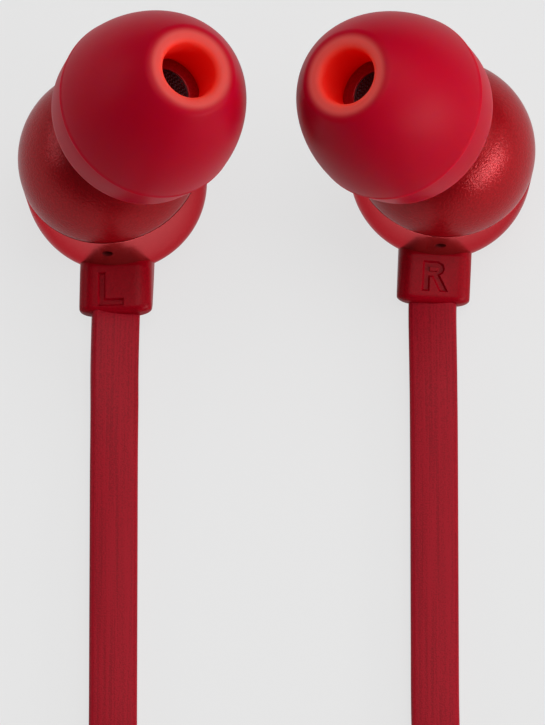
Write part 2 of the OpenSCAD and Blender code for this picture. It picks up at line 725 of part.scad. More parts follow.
module plug_sleeve() {
    color(gold) on_plug() {
        tube(1.3, core_r, shank - 3, shank + 0.1);
        tube(pin_r, core_r, shank, lower_ring_z - band_gap);
    }
}
module plug_lower_ring() {
    color(gold) on_plug() tube(pin_r, core_r, lower_ring_z, lower_ring_z + ring_len);
}
module plug_upper_ring() {
    color(gold) on_plug() tube(pin_r, core_r, upper_ring_z, upper_ring_z + ring_len);
}
module plug_tip() {
    z = pin_end - tip_len;
    color(gold) on_plug() rotate_extrude() polygon([
        [core_r, z], [pin_r, z], [pin_r, z + 0.5], [1.2, z + 1.2], [1.5, z + 1.9],
        [1.5, z + 2.2], [1.1, z + 3.3], [0.5, pin_end], [0, pin_end], [0, pin_end - 2],
        [core_r, pin_end - 2]
    ]);
}

// ---- Tie round the coil's south end ----
module cord_tie() {
    out_y = right_r(1.5) + half_t + 0.35;
    in_y = inner_r - 0.55;
    top_y = out_r(4.5) + half_t + 0.5;
    low_top = lower_z + cord_w / 2 + 0.4;
    high_top = upper_z + cord_w / 2 + 0.4;
    color(black) translate([coil_x - tie_w / 2, south_y, 0]) rotate([90, 0, 90])
        linear_extrude(tie_w) difference() {
            polygon([
                [-out_y - tie_t, 0], [-in_y + tie_t, 0], [-in_y + tie_t, high_top + tie_t],
                [-top_y - 0.1, high_top + tie_t], [-out_y - tie_t, low_top + 0.4]]);
            polygon([
                [-out_y, tie_t], [-in_y, tie_t], [-in_y, high_top], [-top_y, high_top],
                [-out_y, low_top]]);
        }
}

// ---- Pieces of the two buds ----
module left_ear_tip() { color(silicone_red) place_left() ear_tip(left_pull); }
module left_nozzle_mesh() { color(black) place_left() nozzle_mesh(); }
module left_front_housing() { color(moulded_red) place_left() front_housing(); }
module left_back_cover() { color(satin_red) place_left() back_cover(); }
module left_back_cap() { color(satin_red) place_left() back_cap(); }
module left_strain_relief() { color(rubber_red) place_left() strain_relief(); }
module left_driver_grille() { color(steel) place_left() driver_grille(); }
module left_driver_frame() { color(black) place_left() driver_frame(); }
module left_driver_yoke() { color(steel) place_left() driver_yoke(); }
module left_driver_magnet() { color(steel) place_left() driver_magnet(); }
module left_top_plate() { color(steel) place_left() top_plate(); }
module left_voice_coil() { color(copper) place_left() voice_coil(); }
module left_diaphragm() { color(film) place_left() diaphragm(); }
module left_rear_damper() { color(black) place_left() rear_damper(); }
module left_terminal_board() { color(board_green) place_left() terminal_board(); }
module left_lead_wires() { color(copper) place_left() lead_wires(); }
module right_ear_tip() { color(silicone_red) place_right() ear_tip(right_pull); }
module right_nozzle_mesh() { color(black) place_right() nozzle_mesh(); }
module right_front_housing() { color(moulded_red) place_right() front_housing(); }
module right_back_cover() { color(satin_red) place_right() back_cover(); }
module right_back_cap() { color(satin_red) place_right() back_cap(); }
module right_strain_relief() { color(rubber_red) place_right() strain_relief(); }
module right_driver_grille() { color(steel) place_right() driver_grille(); }
module right_driver_frame() { color(black) place_right() driver_frame(); }
module right_driver_yoke() { color(steel) place_right() driver_yoke(); }
module right_driver_magnet() { color(steel) place_right() driver_magnet(); }
module right_top_plate() { color(steel) place_right() top_plate(); }
module right_voice_coil() { color(copper) place_right() voice_coil(); }
module right_diaphragm() { color(film) place_right() diaphragm(); }
module right_rear_damper() { color(black) place_right() rear_damper(); }
module right_terminal_board() { color(board_green) place_right() terminal_board(); }
module right_lead_wires() { color(copper) place_right() lead_wires(); }

// ---- Cords ----
module left_cord() {
    color(cord_red) free_run(left_route, left_down, left_turns());
}
module right_cord() {
    color(cord_red) free_run(right_route, right_down, right_turns());
}
module left_branch_coil() { color(cord_red) wound(left_turns()); }
module right_branch_coil() { color(cord_red) wound(right_turns()); }
module remote_branch_coil() { color(cord_red) wound(remote_turns()); }
module main_cord_coil() { color(cord_red) wound(main_turns()); }

left_ear_tip();
left_nozzle_mesh();
left_front_housing();
left_back_cover();
left_back_cap();
left_strain_relief();
left_driver_grille();
left_driver_frame();
left_driver_yoke();
left_driver_magnet();
left_top_plate();
left_voice_coil();
left_diaphragm();
left_rear_damper();
left_terminal_board();
left_lead_wires();
right_ear_tip();
right_nozzle_mesh();
right_front_housing();
right_back_cover();
right_back_cap();
right_strain_relief();
right_driver_grille();
right_driver_frame();
right_driver_yoke();
right_driver_magnet();
right_top_plate();
right_voice_coil();
right_diaphragm();
right_rear_damper();
right_terminal_board();
right_lead_wires();
left_cord();
right_cord();
left_branch_coil();
right_branch_coil();
remote_branch_coil();
main_cord_coil();
splitter();
remote_front_shell();
remote_back_shell();
remote_button();
remote_board();
remote_switch();
microphone();
plug_handle();
plug_boot();
plug_core();
plug_sleeve();
plug_lower_ring();
plug_upper_ring();
plug_tip();
cord_tie();
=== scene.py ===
"""Wired earphones: ear tips, housings, strain reliefs, cords, remote, splitter and plug."""

import json
import math

import bmesh
import bpy
from bpy.props import FloatProperty, PointerProperty, StringProperty
from mathutils import Matrix, Vector


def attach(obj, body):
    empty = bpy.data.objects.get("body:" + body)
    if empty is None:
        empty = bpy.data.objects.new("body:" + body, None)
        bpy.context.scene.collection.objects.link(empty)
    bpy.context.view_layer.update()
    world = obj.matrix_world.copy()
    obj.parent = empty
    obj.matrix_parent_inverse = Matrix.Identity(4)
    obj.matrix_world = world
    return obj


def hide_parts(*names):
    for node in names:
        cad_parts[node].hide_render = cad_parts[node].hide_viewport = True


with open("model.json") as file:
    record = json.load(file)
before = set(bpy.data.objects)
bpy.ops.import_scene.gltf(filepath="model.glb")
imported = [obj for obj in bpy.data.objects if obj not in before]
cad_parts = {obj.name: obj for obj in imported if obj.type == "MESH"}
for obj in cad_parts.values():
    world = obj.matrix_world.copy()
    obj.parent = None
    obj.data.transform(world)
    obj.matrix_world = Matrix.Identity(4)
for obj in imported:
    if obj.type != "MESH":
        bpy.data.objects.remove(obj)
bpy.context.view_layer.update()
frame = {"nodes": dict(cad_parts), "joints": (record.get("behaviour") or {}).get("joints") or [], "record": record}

bl_info = {
    "name": "Wired Earphones",
    "version": (1, 0, 0),
    "blender": (4, 5, 0),
    "location": "3D View > Sidebar > Earphones",
    "description": "Dresses the packed earphones: tips, housings, cords, remote and plug",
    "category": "Object",
}

MM = 0.001


# ---- Sizes and colours that a user would change ----
def length(name, default, text):
    return FloatProperty(name=name, default=default, description=text + ", in millimetres")


def paint(name, default, text):
    return StringProperty(name=name, default=default, description=text + ", as an sRGB hex value")


class EarphoneSizes(bpy.types.PropertyGroup):
    housing_d: length("Housing diameter", 12.0, "Outer diameter of the earbud housing")
    housing_wall: length("Housing wall", 0.8, "Wall of the front housing and the back cover")
    seam_z: length("Seam height", 6.0, "Height of the seam above the back of the bud")
    band_h: length("Band height", 0.4, "Plain band between the seam and the dome")
    back_d: length("Back diameter", 9.4, "Diameter where the shoulder meets the back")
    shoulder_h: length("Shoulder height", 3.4, "Height of the back cover's shoulder")
    nozzle_rise: length("Nozzle rise", 2.2, "Height above the seam where the axes cross")
    nozzle_turn: FloatProperty(name="Nozzle turn", default=math.radians(6.5), subtype="ANGLE",
                               description="Turn of the nozzle towards the cord")
    nozzle_end: length("Nozzle length", 10.4, "From the axes' crossing to the nozzle's end")
    collar_end: length("Collar height", 5.5, "From the axes' crossing to the tip's stop")
    tip_d: length("Tip diameter", 12.5, "Largest diameter of the ear tip")
    dome_h: length("Dome height", 8.55, "Full curve of the dome above its widest place")
    mouth_z: length("Mouth height", 7.0, "Where the dome turns into the mouth's rim")
    skirt_h: length("Skirt length", 2.6, "Skirt behind the widest place")
    skirt_d: length("Skirt diameter", 11.7, "Diameter of the skirt's rim")
    left_pull: length("Left tip stand-off", 1.3, "How far the left tip stands off its collar")
    right_pull: length("Right tip stand-off", 1.3, "How far the right tip stands off its collar")
    relief_w: length("Strain relief width", 4.8, "Width of the strain relief")
    relief_h: length("Strain relief height", 2.55, "Height against the back cover")
    relief_end_h: length("Strain relief end height", 1.85, "Height where the cord leaves")
    relief_reach: length("Strain relief reach", 9.05, "From the bud's axis to the relief's end")
    cord_w: length("Cord width", 3.15, "Width of the flat cord")
    cord_t: length("Cord thickness", 1.1, "Thickness of the flat cord")
    cord_edge: length("Cord edge", 0.34, "Radius of the flat cord's edges")
    mesh_pitch: length("Mesh pitch", 0.17, "From wire to wire of the nozzle's woven mesh")
    mesh_wire: length("Mesh wire", 0.07, "Diameter of the mesh's wires")


class EarphoneColours(bpy.types.PropertyGroup):
    silicone: paint("Silicone", "#a8001f", "Ear tip dome")
    # painted light: the mouth's thin rim is painted a paler orange, for light shining through it
    silicone_lip_glow: paint("Silicone lip", "#c24a46", "Thin rim of the ear tip's mouth")
    housing: paint("Housing", "#960410", "Moulded front housing")
    cover: paint("Back cover", "#ca4c50", "Anodised back cover")
    rubber: paint("Moulded rubber", "#8a0011", "Strain reliefs, splitter and plug boot")
    fittings: paint("Remote and plug", "#b3242c", "Anodised remote and plug handle")
    cord: paint("Cord", "#8d0a1b", "Flat cord jacket")
    floor: paint("Floor", "#e6e6e6", "Floor and backdrop")


# ---- Small helpers ----
def linear(value):
    """An sRGB hex value as linear red, green, blue and alpha."""
    parts = [int(value[i:i + 2], 16) / 255 for i in (1, 3, 5)]
    return [c / 12.92 if c <= 0.04045 else ((c + 0.055) / 1.055) ** 2.4 for c in parts] + [1.0]


def lerp(a, b, t):
    return a + (b - a) * t


def smooth(x):
    c = min(max(x, 0.0), 1.0)
    return c * c * (3 - 2 * c)


def feed(tree, node, inputs):
    """Sets or links a node's inputs; each takes a value, a socket or a node's first output."""
    for key, value in inputs.items():
        if isinstance(value, bpy.types.Node):
            value = value.outputs[0]
        if isinstance(value, bpy.types.NodeSocket):
            tree.links.new(value, node.inputs[key])
        else:
            node.inputs[key].default_value = value


def add(tree, kind, *values, inputs=None, stops=(), **settings):
    """Adds a node with its settings, its colour stops, and its inputs by order or by name."""
    made = tree.nodes.new(kind)
    for key, value in settings.items():
        setattr(made, key, value)
    if stops:
        elements = made.color_ramp.elements
        while len(elements) < len(stops):
            elements.new(0.5)
        for element, (place, colour) in zip(elements, stops):
            element.position, element.color = place, colour
    feed(tree, made, {**dict(enumerate(values)), **(inputs or {})})
    return made


def new_material(name):
    """A node material with a Principled shader and its tree."""
    made = bpy.data.materials.new(name)
    made.use_nodes = True
    return made, made.node_tree, made.node_tree.nodes["Principled BSDF"]


def grains(tree, size_mm, detail):
    """Noise on the object, in grains about size_mm across."""
    where = add(tree, "ShaderNodeTexCoord")
    return add(tree, "ShaderNodeTexNoise",
               inputs={"Vector": where.outputs["Object"], "Scale": 1 / (size_mm * MM),
                       "Detail": detail, "Roughness": 0.55})


def shades(colour, tones):
    """Stops of one colour: each tone is (place on the ramp, brightness)."""
    r, g, b, _ = linear(colour)
    return [(place, [r * factor, g * factor, b * factor, 1.0]) for place, factor in tones]


def grained(name, colour, size_mm, detail, tones, depth_mm, inputs):
    """A material whose grains vary its tone and stand depth_mm high; inputs set its shader."""
    made, tree, shader = new_material(name)
    pattern = grains(tree, size_mm, detail)
    tone = add(tree, "ShaderNodeValToRGB", pattern, stops=shades(colour, tones))
    relief = add(tree, "ShaderNodeBump", inputs={"Height": pattern, "Distance": depth_mm * MM})
    coat = {"Coat Normal": relief} if "Coat Weight" in inputs else {}
    feed(tree, shader, {"Base Color": tone, "Normal": relief, **coat, **inputs})
    return made


# ---- Materials ----
def silicone(colour, lip):
    """Moulded liquid silicone: soft satin skin, with a painted glow and paler painted colour where light would
    shine through thin walls.
    """
    made, tree, shader = new_material("silicone_moulded")
    # 0 on the dome, 0.42 on the mouth's flat rim, 1 at the bottom of the bore
    place = add(tree, "ShaderNodeAttribute", attribute_name="lip").outputs["Fac"]
    # painted light: the rim and the top of the bore are painted paler orange for light shining through the thin
    # silicone, over its own deep red
    tone = add(tree, "ShaderNodeValToRGB", place, stops=[
        (0.0, linear(colour)), (0.4, linear(lip)), (0.5, linear("#ce4034")),
        (0.6, linear("#c8281e")), (1.0, linear("#a80805"))])
    # painted glow: the walls of the bore would be lit through from all around, and an emission paints that light
    # as a deep red glow
    glow = add(tree, "ShaderNodeValToRGB", place, stops=[
        (0.12, linear("#000000")), (0.4, linear("#4c1612")), (0.52, linear("#7a0c06")),
        (0.64, linear("#8c0000")), (1.0, linear("#780000"))])
    # the mould's own fine skin, in grains of 0.08 mm
    skin = add(tree, "ShaderNodeBump",
               inputs={"Height": grains(tree, 0.08, 1), "Distance": 0.003 * MM})
    feed(tree, shader, {
        "Base Color": tone, "Normal": skin, "Emission Color": glow, "Emission Strength": 1.0,
        "Roughness": 0.42, "IOR": 1.41, "Specular IOR Level": 0.1, "Subsurface Weight": 0.75,
        "Subsurface Scale": 1.4 * MM, "Subsurface Radius": (1.0, 0.12, 0.08)})
    return made


def textured_plastic(colour):
    """Moulded ABS with a little pearl pigment and a spark-eroded skin: red highlights, and
    grains that catch the light and sparkle, under the pigment's paler sheen."""
    # pits 0.14 mm apart: coarser than the real 0.1 mm, so that they show
    return grained("abs_spark_textured", colour, 0.14, 2, [(0.3, 0.85), (0.7, 1.2)], 0.025, {
        "Metallic": 0.27, "Roughness": 0.3, "IOR": 1.53, "Specular IOR Level": 0.06,
        "Specular Tint": linear("#e6bcc0"), "Coat Weight": 0.14, "Coat Roughness": 0.24,
        "Coat IOR": 1.8})


def anodised(colour, name="aluminium_anodised"):
    """Bead-blasted aluminium, anodised and dyed red: a satin metal, tinted by its dyed film."""
    # beads' marks 0.12 mm across: coarser than the real 0.05 mm, so that they show
    return grained(name, colour, 0.12, 2, [(0.35, 0.94), (0.65, 1.05)], 0.002, {
        "Metallic": 0.9, "Roughness": 0.26, "Specular IOR Level": 0.12,
        "Specular Tint": linear("#d08a90")})


def rubber(colour, name="tpe_moulded"):
    """Moulded thermoplastic rubber: fine matt grain, soft low highlight."""
    # the mould's grain is 0.14 mm across
    return grained(name, colour, 0.14, 3, [(0.3, 0.84), (0.7, 1.16)], 0.012, {
        "Roughness": 0.36, "IOR": 1.5, "Specular IOR Level": 0.07})


def cord_jacket(colour):
    """Extruded TPE jacket: matt skin with faint die lines that run along the cord."""
    made, tree, shader = new_material("tpe_extruded")
    along, around = (add(tree, "ShaderNodeAttribute", attribute_name=name).outputs["Fac"]
                     for name in ("along", "around"))
    # die lines 0.2 mm apart: coarser than the real 0.05 mm, so that they show
    across = add(tree, "ShaderNodeMath", around, 1 / (0.2 * MM), operation="MULTIPLY")
    down = add(tree, "ShaderNodeMath", along, 1 / (14 * MM), operation="MULTIPLY")
    run = add(tree, "ShaderNodeCombineXYZ", across, down)
    lines = add(tree, "ShaderNodeTexNoise",
                inputs={"Vector": run, "Scale": 1.0, "Detail": 2.0, "Roughness": 0.6})
    both = add(tree, "ShaderNodeMath", lines, grains(tree, 0.11, 2), operation="ADD")
    tone = add(tree, "ShaderNodeValToRGB", both,
               stops=shades(colour, [(0.75, 0.84), (1.0, 1.0), (1.25, 1.16)]))
    relief = add(tree, "ShaderNodeBump", inputs={"Height": both, "Distance": 0.01 * MM})
    feed(tree, shader, {"Base Color": tone, "Normal": relief, "Roughness": 0.46, "IOR": 1.5,
                        "Specular IOR Level": 0.1})
    return made


def plain_plastic(colour, name, rough=0.45):
    """Moulded plastic: smooth and satin, with a slight skin grain 0.2 mm across."""
    return grained(name, colour, 0.2, 2, [(0.3, 0.88), (0.7, 1.1)], 0.004, {
        "Roughness": rough, "IOR": 1.5})


def metal(colour, name, rough=0.25, size_mm=0.3):
    """Plated or turned metal: bright and smooth, with faint tool marks size_mm apart, which is
    coarser than the real 0.05 mm, so that they show."""
    return grained(name, colour, size_mm, 3, [(0.3, 0.92), (0.7, 1.05)], 0.002, {
        "Metallic": 1.0, "Roughness": rough})


def pile(colour):
    """Hook-and-loop tape of nylon: matt, with the fuzz of its looped pile, 0.3 mm a loop."""
    return grained("nylon_looped_pile", colour, 0.3, 3, [(0.35, 0.6), (0.65, 1.5)], 0.12, {
        "Roughness": 0.85, "IOR": 1.53, "Specular IOR Level": 0.3})


# ---- Meshes ----
CREASE = 32  # degrees between faces past which an edge is drawn sharp
TINY = 1e-9  # millimetres, or half turns, that count as none
SAME_PLACE = 1e-8  # metres within which two corners are one


def rounded(points, steps=4):
    """A closed outline; each point is (x, y, corner radius)."""
    out = []
    n = len(points)
    for i, (x, y, r) in enumerate(points):
        here = Vector((x, y))
        if not r:
            out.append((x, y))
            continue
        a = (Vector(points[i - 1][:2]) - here).normalized()
        b = (Vector(points[(i + 1) % n][:2]) - here).normalized()
        half = a.angle(b) / 2
        cut = r / math.tan(half)
        centre = here + (a + b).normalized() * (r / math.sin(half))
        start, end = here + a * cut - centre, here + b * cut - centre
        turn = start.angle_signed(end)
        for k in range(steps + 1):
            c, s = math.cos(-turn * k / steps), math.sin(-turn * k / steps)
            out.append((centre.x + start.x * c - start.y * s, centre.y + start.x * s + start.y * c))
    return out


def lathe(bm, outline, place, steps=128, values=None):
    """Turns a closed outline of (radius, height) about Z into bm, at place."""
    layer = bm.verts.layers.float.get("lip") or bm.verts.layers.float.new("lip")
    rings = []
    for i, (r, z) in enumerate(outline):
        if r < TINY:
            ring = [bm.verts.new(place @ Vector((0, 0, z)))] * steps
        else:
            ring = [bm.verts.new(place @ Vector((r * math.cos(a), r * math.sin(a), z)))
                    for a in (2 * math.pi * k / steps for k in range(steps))]
        for v in set(ring):
            v[layer] = values[i] if values else 0.0
        rings.append(ring)
    for i, ring in enumerate(rings):
        other = rings[(i + 1) % len(rings)]
        for k in range(steps):
            # on the axis two corners are the same point, so the face is a triangle or nothing
            corners = list(dict.fromkeys(
                (ring[k], ring[(k + 1) % steps], other[(k + 1) % steps], other[k])))
            if len(corners) > 2:
                bm.faces.new(corners)


def spread(outline, by):
    """A closed outline with each of its sides moved out by the same distance."""
    n = len(outline)
    turn = sum(x0 * y1 - x1 * y0 for (x0, y0), (x1, y1) in zip(outline, outline[1:] + outline[:1]))
    out = []
    for i, p in enumerate(outline):
        sides = []
        for a, b in ((outline[i - 1], p), (p, outline[(i + 1) % n])):
            d = (Vector(b) - Vector(a)).normalized()
            sides.append(Vector((d.y, -d.x)) * (1 if turn > 0 else -1))
        moved = Vector(p) + (sides[0] + sides[1]) * (by / (1 + sides[0].dot(sides[1])))
        out.append((moved.x, moved.y))
    return out


def stack(bm, layers, place):
    """A solid through outlines of equal counts, each given with its height, at place."""
    loops = [[bm.verts.new(place @ Vector((x, y, z))) for x, y in outline]
             for z, outline in layers]
    n = len(loops[0])
    for low, high in zip(loops, loops[1:]):
        for k in range(n):
            bm.faces.new([low[k], low[(k + 1) % n], high[(k + 1) % n], high[k]])
    bm.faces.new(loops[0][::-1])
    bm.faces.new(loops[-1])


def slab(w, h, r):
    """A rectangle's outline with rounded corners."""
    return rounded([(-w / 2, -h / 2, r), (w / 2, -h / 2, r), (w / 2, h / 2, r), (-w / 2, h / 2, r)])


def strap(bm, path, place, width, thick, closed, edge=0.1):
    """A flat band along a path of (y, z), with its edges taken off."""
    w, t, n = width / 2, thick / 2, len(path)
    section = [(-w, -t + edge), (-w, t - edge), (-w + edge, t), (w - edge, t), (w, t - edge),
               (w, -t + edge), (w - edge, -t), (-w + edge, -t)]
    rings = []
    for i, p in enumerate(path):
        before = path[i - 1] if closed or i else p
        after = path[(i + 1) % n] if closed or i < n - 1 else p
        d = (Vector(after) - Vector(before)).normalized()
        rings.append([bm.verts.new(place @ Vector((x, p[0] - d.y * s, p[1] + d.x * s)))
                      for x, s in section])
    for a, b in zip(rings, rings[1:] + rings[:1] if closed else rings[1:]):
        for k in range(8):
            bm.faces.new([a[k], a[(k + 1) % 8], b[(k + 1) % 8], b[k]])
    if not closed:
        bm.faces.new(rings[0])
        bm.faces.new(rings[-1][::-1])


def turned_piece(name, outline, place, steps, material, node, sharp=40):
    """A piece turned about its own Z from an outline of (radius, height, corner radius)."""
    bm = bmesh.new()
    lathe(bm, rounded(outline), place, steps)
    return make_piece(name, bm, material, "set", [node], sharp)


def mesh_object(name, bm):
    """A new object with bm for its mesh, its faces outwards."""
    bmesh.ops.recalc_face_normals(bm, faces=bm.faces)
    mesh = bpy.data.meshes.new(name)
    bm.to_mesh(mesh)
    bm.free()
    made = bpy.data.objects.new(name, mesh)
    bpy.context.scene.collection.objects.link(made)
    return made


def make_piece(name, bm, material, body, nodes, sharp=CREASE):
    """Turns bm into a finished piece that rides on a body and stands for CAD nodes."""
    bmesh.ops.remove_doubles(bm, verts=bm.verts, dist=SAME_PLACE)
    made = mesh_object(name, bm)
    made.data.materials.append(material)
    made.data.shade_smooth()
    made.data.set_sharp_from_angle(angle=math.radians(sharp))
    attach(made, body)
    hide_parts(*nodes)
    return made


def apply_modifiers(obj):
    """Applies the object's modifiers to its mesh."""
    graph = bpy.context.evaluated_depsgraph_get()
    mesh = bpy.data.meshes.new_from_object(obj.evaluated_get(graph))
    old = obj.data
    obj.modifiers.clear()
    obj.data = mesh
    bpy.data.meshes.remove(old)


def cut_away(obj, bm):
    """Cuts bm out of obj."""
    cutter = mesh_object("cutter", bm)
    mesh = cutter.data
    made = obj.modifiers.new("cut", "BOOLEAN")
    made.operation = "DIFFERENCE"
    made.solver = "EXACT"
    made.object = cutter
    apply_modifiers(obj)
    bpy.data.objects.remove(cutter)
    bpy.data.meshes.remove(mesh)
    obj.data.set_sharp_from_angle(angle=math.radians(CREASE))


# ---- Geometry Nodes: what follows a path or repeats ----
def new_tree(name, sockets):
    """A tree with a geometry input, the named inputs, and its outputs to link from."""
    tree = bpy.data.node_groups.new(name, "GeometryNodeTree")
    tree.interface.new_socket("Geometry", in_out="OUTPUT", socket_type="NodeSocketGeometry")
    for label, kind in (("Geometry", "Geometry"), *sockets, ("Material", "Material")):
        tree.interface.new_socket(label, in_out="INPUT", socket_type="NodeSocket" + kind)
    return tree, add(tree, "NodeGroupInput").outputs


def end_tree(tree, geometry, given):
    """Ends a tree in real geometry, painted with the given material."""
    real = add(tree, "GeometryNodeRealizeInstances", geometry)
    painted = add(tree, "GeometryNodeSetMaterial", real,
                  inputs={"Material": given["Material"]})
    add(tree, "NodeGroupOutput", painted)
    return tree


def grown(tree, values, mesh=None):
    """Runs a tree on a mesh and returns its result in a bmesh."""
    start = mesh or bpy.data.meshes.new("start")
    holder = bpy.data.objects.new("grown", start)
    bpy.context.scene.collection.objects.link(holder)
    made = holder.modifiers.new("nodes", "NODES")
    made.node_group = tree
    for item in tree.interface.items_tree:
        if item.in_out == "INPUT" and item.name in values:
            made[item.identifier] = values[item.name]
    graph = bpy.context.evaluated_depsgraph_get()
    result = bpy.data.meshes.new_from_object(holder.evaluated_get(graph))
    bm = bmesh.new()
    bm.from_mesh(result)
    bpy.data.objects.remove(holder)
    bpy.data.meshes.remove(start)
    bpy.data.meshes.remove(result)
    return bm


def flat_cord_tree():
    """Sweeps a flat section with rounded edges along a route, turned by its roll."""
    tree, given = new_tree("flat_cord", [("Width", "Float"), ("Thickness", "Float"),
                                         ("Edge Radius", "Float")])
    curve = add(tree, "GeometryNodeMeshToCurve", given["Geometry"])
    level = add(tree, "GeometryNodeSetCurveNormal", curve, mode="Z_UP")
    roll = add(tree, "GeometryNodeInputNamedAttribute", "roll", data_type="FLOAT")
    turned = add(tree, "GeometryNodeSetCurveTilt", level, inputs={"Tilt": roll})
    reached = add(tree, "GeometryNodeSplineParameter").outputs["Length"]
    along = add(tree, "GeometryNodeStoreNamedAttribute", turned,
                inputs={"Name": "along", "Value": reached}, data_type="FLOAT", domain="POINT")
    box = add(tree, "GeometryNodeCurvePrimitiveQuadrilateral", given["Width"],
              given["Thickness"])
    section = add(tree, "GeometryNodeFilletCurve", box,
                  inputs={"Count": 4, "Radius": given["Edge Radius"]}, mode="POLY")
    around = add(tree, "GeometryNodeStoreNamedAttribute", section,
                 inputs={"Name": "around", "Value": reached}, data_type="FLOAT", domain="POINT")
    swept = add(tree, "GeometryNodeCurveToMesh", along, around, inputs={"Fill Caps": True})
    return end_tree(tree, swept, given)


def woven_tree():
    """A round of plain weave: wires a pitch apart that pass over and under each other."""
    tree, given = new_tree("woven_mesh", [("Radius", "Float"), ("Pitch", "Float"),
                                          ("Wire", "Float")])
    radius, pitch, wire = given["Radius"], given["Pitch"], given["Wire"]
    # straight wires along X, side by side along Y
    pitches = add(tree, "ShaderNodeMath", radius, pitch, operation="DIVIDE")
    half = add(tree, "ShaderNodeMath", pitches, operation="FLOOR")
    count = add(tree, "ShaderNodeMath", half, 2.0, 1.0, operation="MULTIPLY_ADD")
    reach = add(tree, "ShaderNodeMath", half, pitch, operation="MULTIPLY")
    first = add(tree, "ShaderNodeMath", reach, -1.0, operation="MULTIPLY")
    west = add(tree, "ShaderNodeMath", radius, -1.0, operation="MULTIPLY")
    rows = add(tree, "GeometryNodeMeshLine", inputs={
        "Count": count, "Start Location": add(tree, "ShaderNodeCombineXYZ", 0.0, first),
        "Offset": add(tree, "ShaderNodeCombineXYZ", 0.0, pitch)})
    line = add(tree, "GeometryNodeCurvePrimitiveLine", inputs={
        "Start": add(tree, "ShaderNodeCombineXYZ", west),
        "End": add(tree, "ShaderNodeCombineXYZ", radius)})
    step = add(tree, "ShaderNodeMath", pitch, 4.0, operation="DIVIDE")
    fine = add(tree, "GeometryNodeResampleCurve", line, inputs={"Length": step}, mode="LENGTH")
    spread_out = add(tree, "GeometryNodeInstanceOnPoints", rows, inputs={"Instance": fine})
    wires = add(tree, "GeometryNodeRealizeInstances", spread_out)
    # each wire rises and falls by half its own thickness, once every two pitches
    where = add(tree, "GeometryNodeInputPosition")
    share = add(tree, "ShaderNodeVectorMath", where, pitch, operation="DIVIDE")
    phase = add(tree, "ShaderNodeVectorMath", share, inputs={"Scale": math.pi},
                operation="SCALE")
    wave = add(tree, "ShaderNodeSeparateXYZ",
               add(tree, "ShaderNodeVectorMath", phase, operation="COSINE"))
    crossing = add(tree, "ShaderNodeMath", wave.outputs[0], wave.outputs[1],
                   operation="MULTIPLY")
    rise = add(tree, "ShaderNodeMath", wire, 0.5, operation="MULTIPLY")
    height = add(tree, "ShaderNodeMath", crossing, rise, operation="MULTIPLY")
    bent = add(tree, "GeometryNodeSetPosition", wires,
               inputs={"Offset": add(tree, "ShaderNodeCombineXYZ", 0.0, 0.0, height)})
    # what lies past the round goes
    flat = add(tree, "ShaderNodeVectorMath", where, (1.0, 1.0, 0.0), operation="MULTIPLY")
    distance = add(tree, "ShaderNodeVectorMath", flat, operation="LENGTH")
    past = add(tree, "ShaderNodeMath", distance.outputs["Value"], radius,
               operation="GREATER_THAN")
    trimmed = add(tree, "GeometryNodeDeleteGeometry", bent, past)
    ring = add(tree, "GeometryNodeCurvePrimitiveCircle",
               inputs={"Resolution": 6, "Radius": rise})
    solid = add(tree, "GeometryNodeCurveToMesh", trimmed, ring, inputs={"Fill Caps": True})
    # the same wires again, turned over and across
    crossed = add(tree, "GeometryNodeTransform", solid,
                  inputs={"Rotation": (math.pi, 0.0, math.pi / 2)})
    both = add(tree, "GeometryNodeJoinGeometry", solid)
    feed(tree, both, {0: crossed})
    return end_tree(tree, both, given)


def ridges_tree():
    """A row of low round ridges, side by side."""
    tree, given = new_tree("ridges", [("Count", "Int"), ("Pitch", "Float"), ("Length", "Float"),
                                      ("Radius", "Float")])
    gaps = add(tree, "ShaderNodeMath", 1.0, given["Count"], operation="SUBTRACT")
    half_pitch = add(tree, "ShaderNodeMath", given["Pitch"], 0.5, operation="MULTIPLY")
    first = add(tree, "ShaderNodeMath", gaps, half_pitch, operation="MULTIPLY")
    row = add(tree, "GeometryNodeMeshLine", inputs={
        "Count": given["Count"], "Start Location": add(tree, "ShaderNodeCombineXYZ", first),
        "Offset": add(tree, "ShaderNodeCombineXYZ", given["Pitch"])})
    low, high = (add(tree, "ShaderNodeMath", given["Length"], share, operation="MULTIPLY")
                 for share in (-0.5, 0.5))
    line = add(tree, "GeometryNodeCurvePrimitiveLine", inputs={
        "Start": add(tree, "ShaderNodeCombineXYZ", 0.0, low),
        "End": add(tree, "ShaderNodeCombineXYZ", 0.0, high)})
    ring = add(tree, "GeometryNodeCurvePrimitiveCircle",
               inputs={"Resolution": 12, "Radius": given["Radius"]})
    ridge = add(tree, "GeometryNodeCurveToMesh", line, ring, inputs={"Fill Caps": True})
    placed = add(tree, "GeometryNodeInstanceOnPoints", row, inputs={"Instance": ridge})
    return end_tree(tree, placed, given)


# ---- Where the buds are, from the frame ----
def bud_place(side):
    """The bud's frame: origin on its back face, Z along the housing, -Y towards the cord."""
    mount = next(m for m in frame["record"]["mounts"] if m["name"] == side + "_back_face")
    joint = next(j for j in frame["joints"] if j["name"] == side + "_tip_pull")
    z = -Vector(mount["axis"]).normalized()
    nozzle = Vector(joint["axis"]).normalized()
    ahead = (nozzle - z * nozzle.dot(z)).normalized()
    aside = z.cross(ahead) if side == "left" else ahead.cross(z)
    turn = bpy.context.scene.earphone_sizes.nozzle_turn
    x = ahead * math.cos(turn) + aside * math.sin(turn)
    y = aside * math.cos(turn) - ahead * math.sin(turn)
    base = Matrix((x, y, z)).transposed().to_4x4()
    base.translation = Vector(mount["pos_m"])
    return base @ Matrix.Diagonal((MM, MM, MM, 1)), nozzle.angle(z)


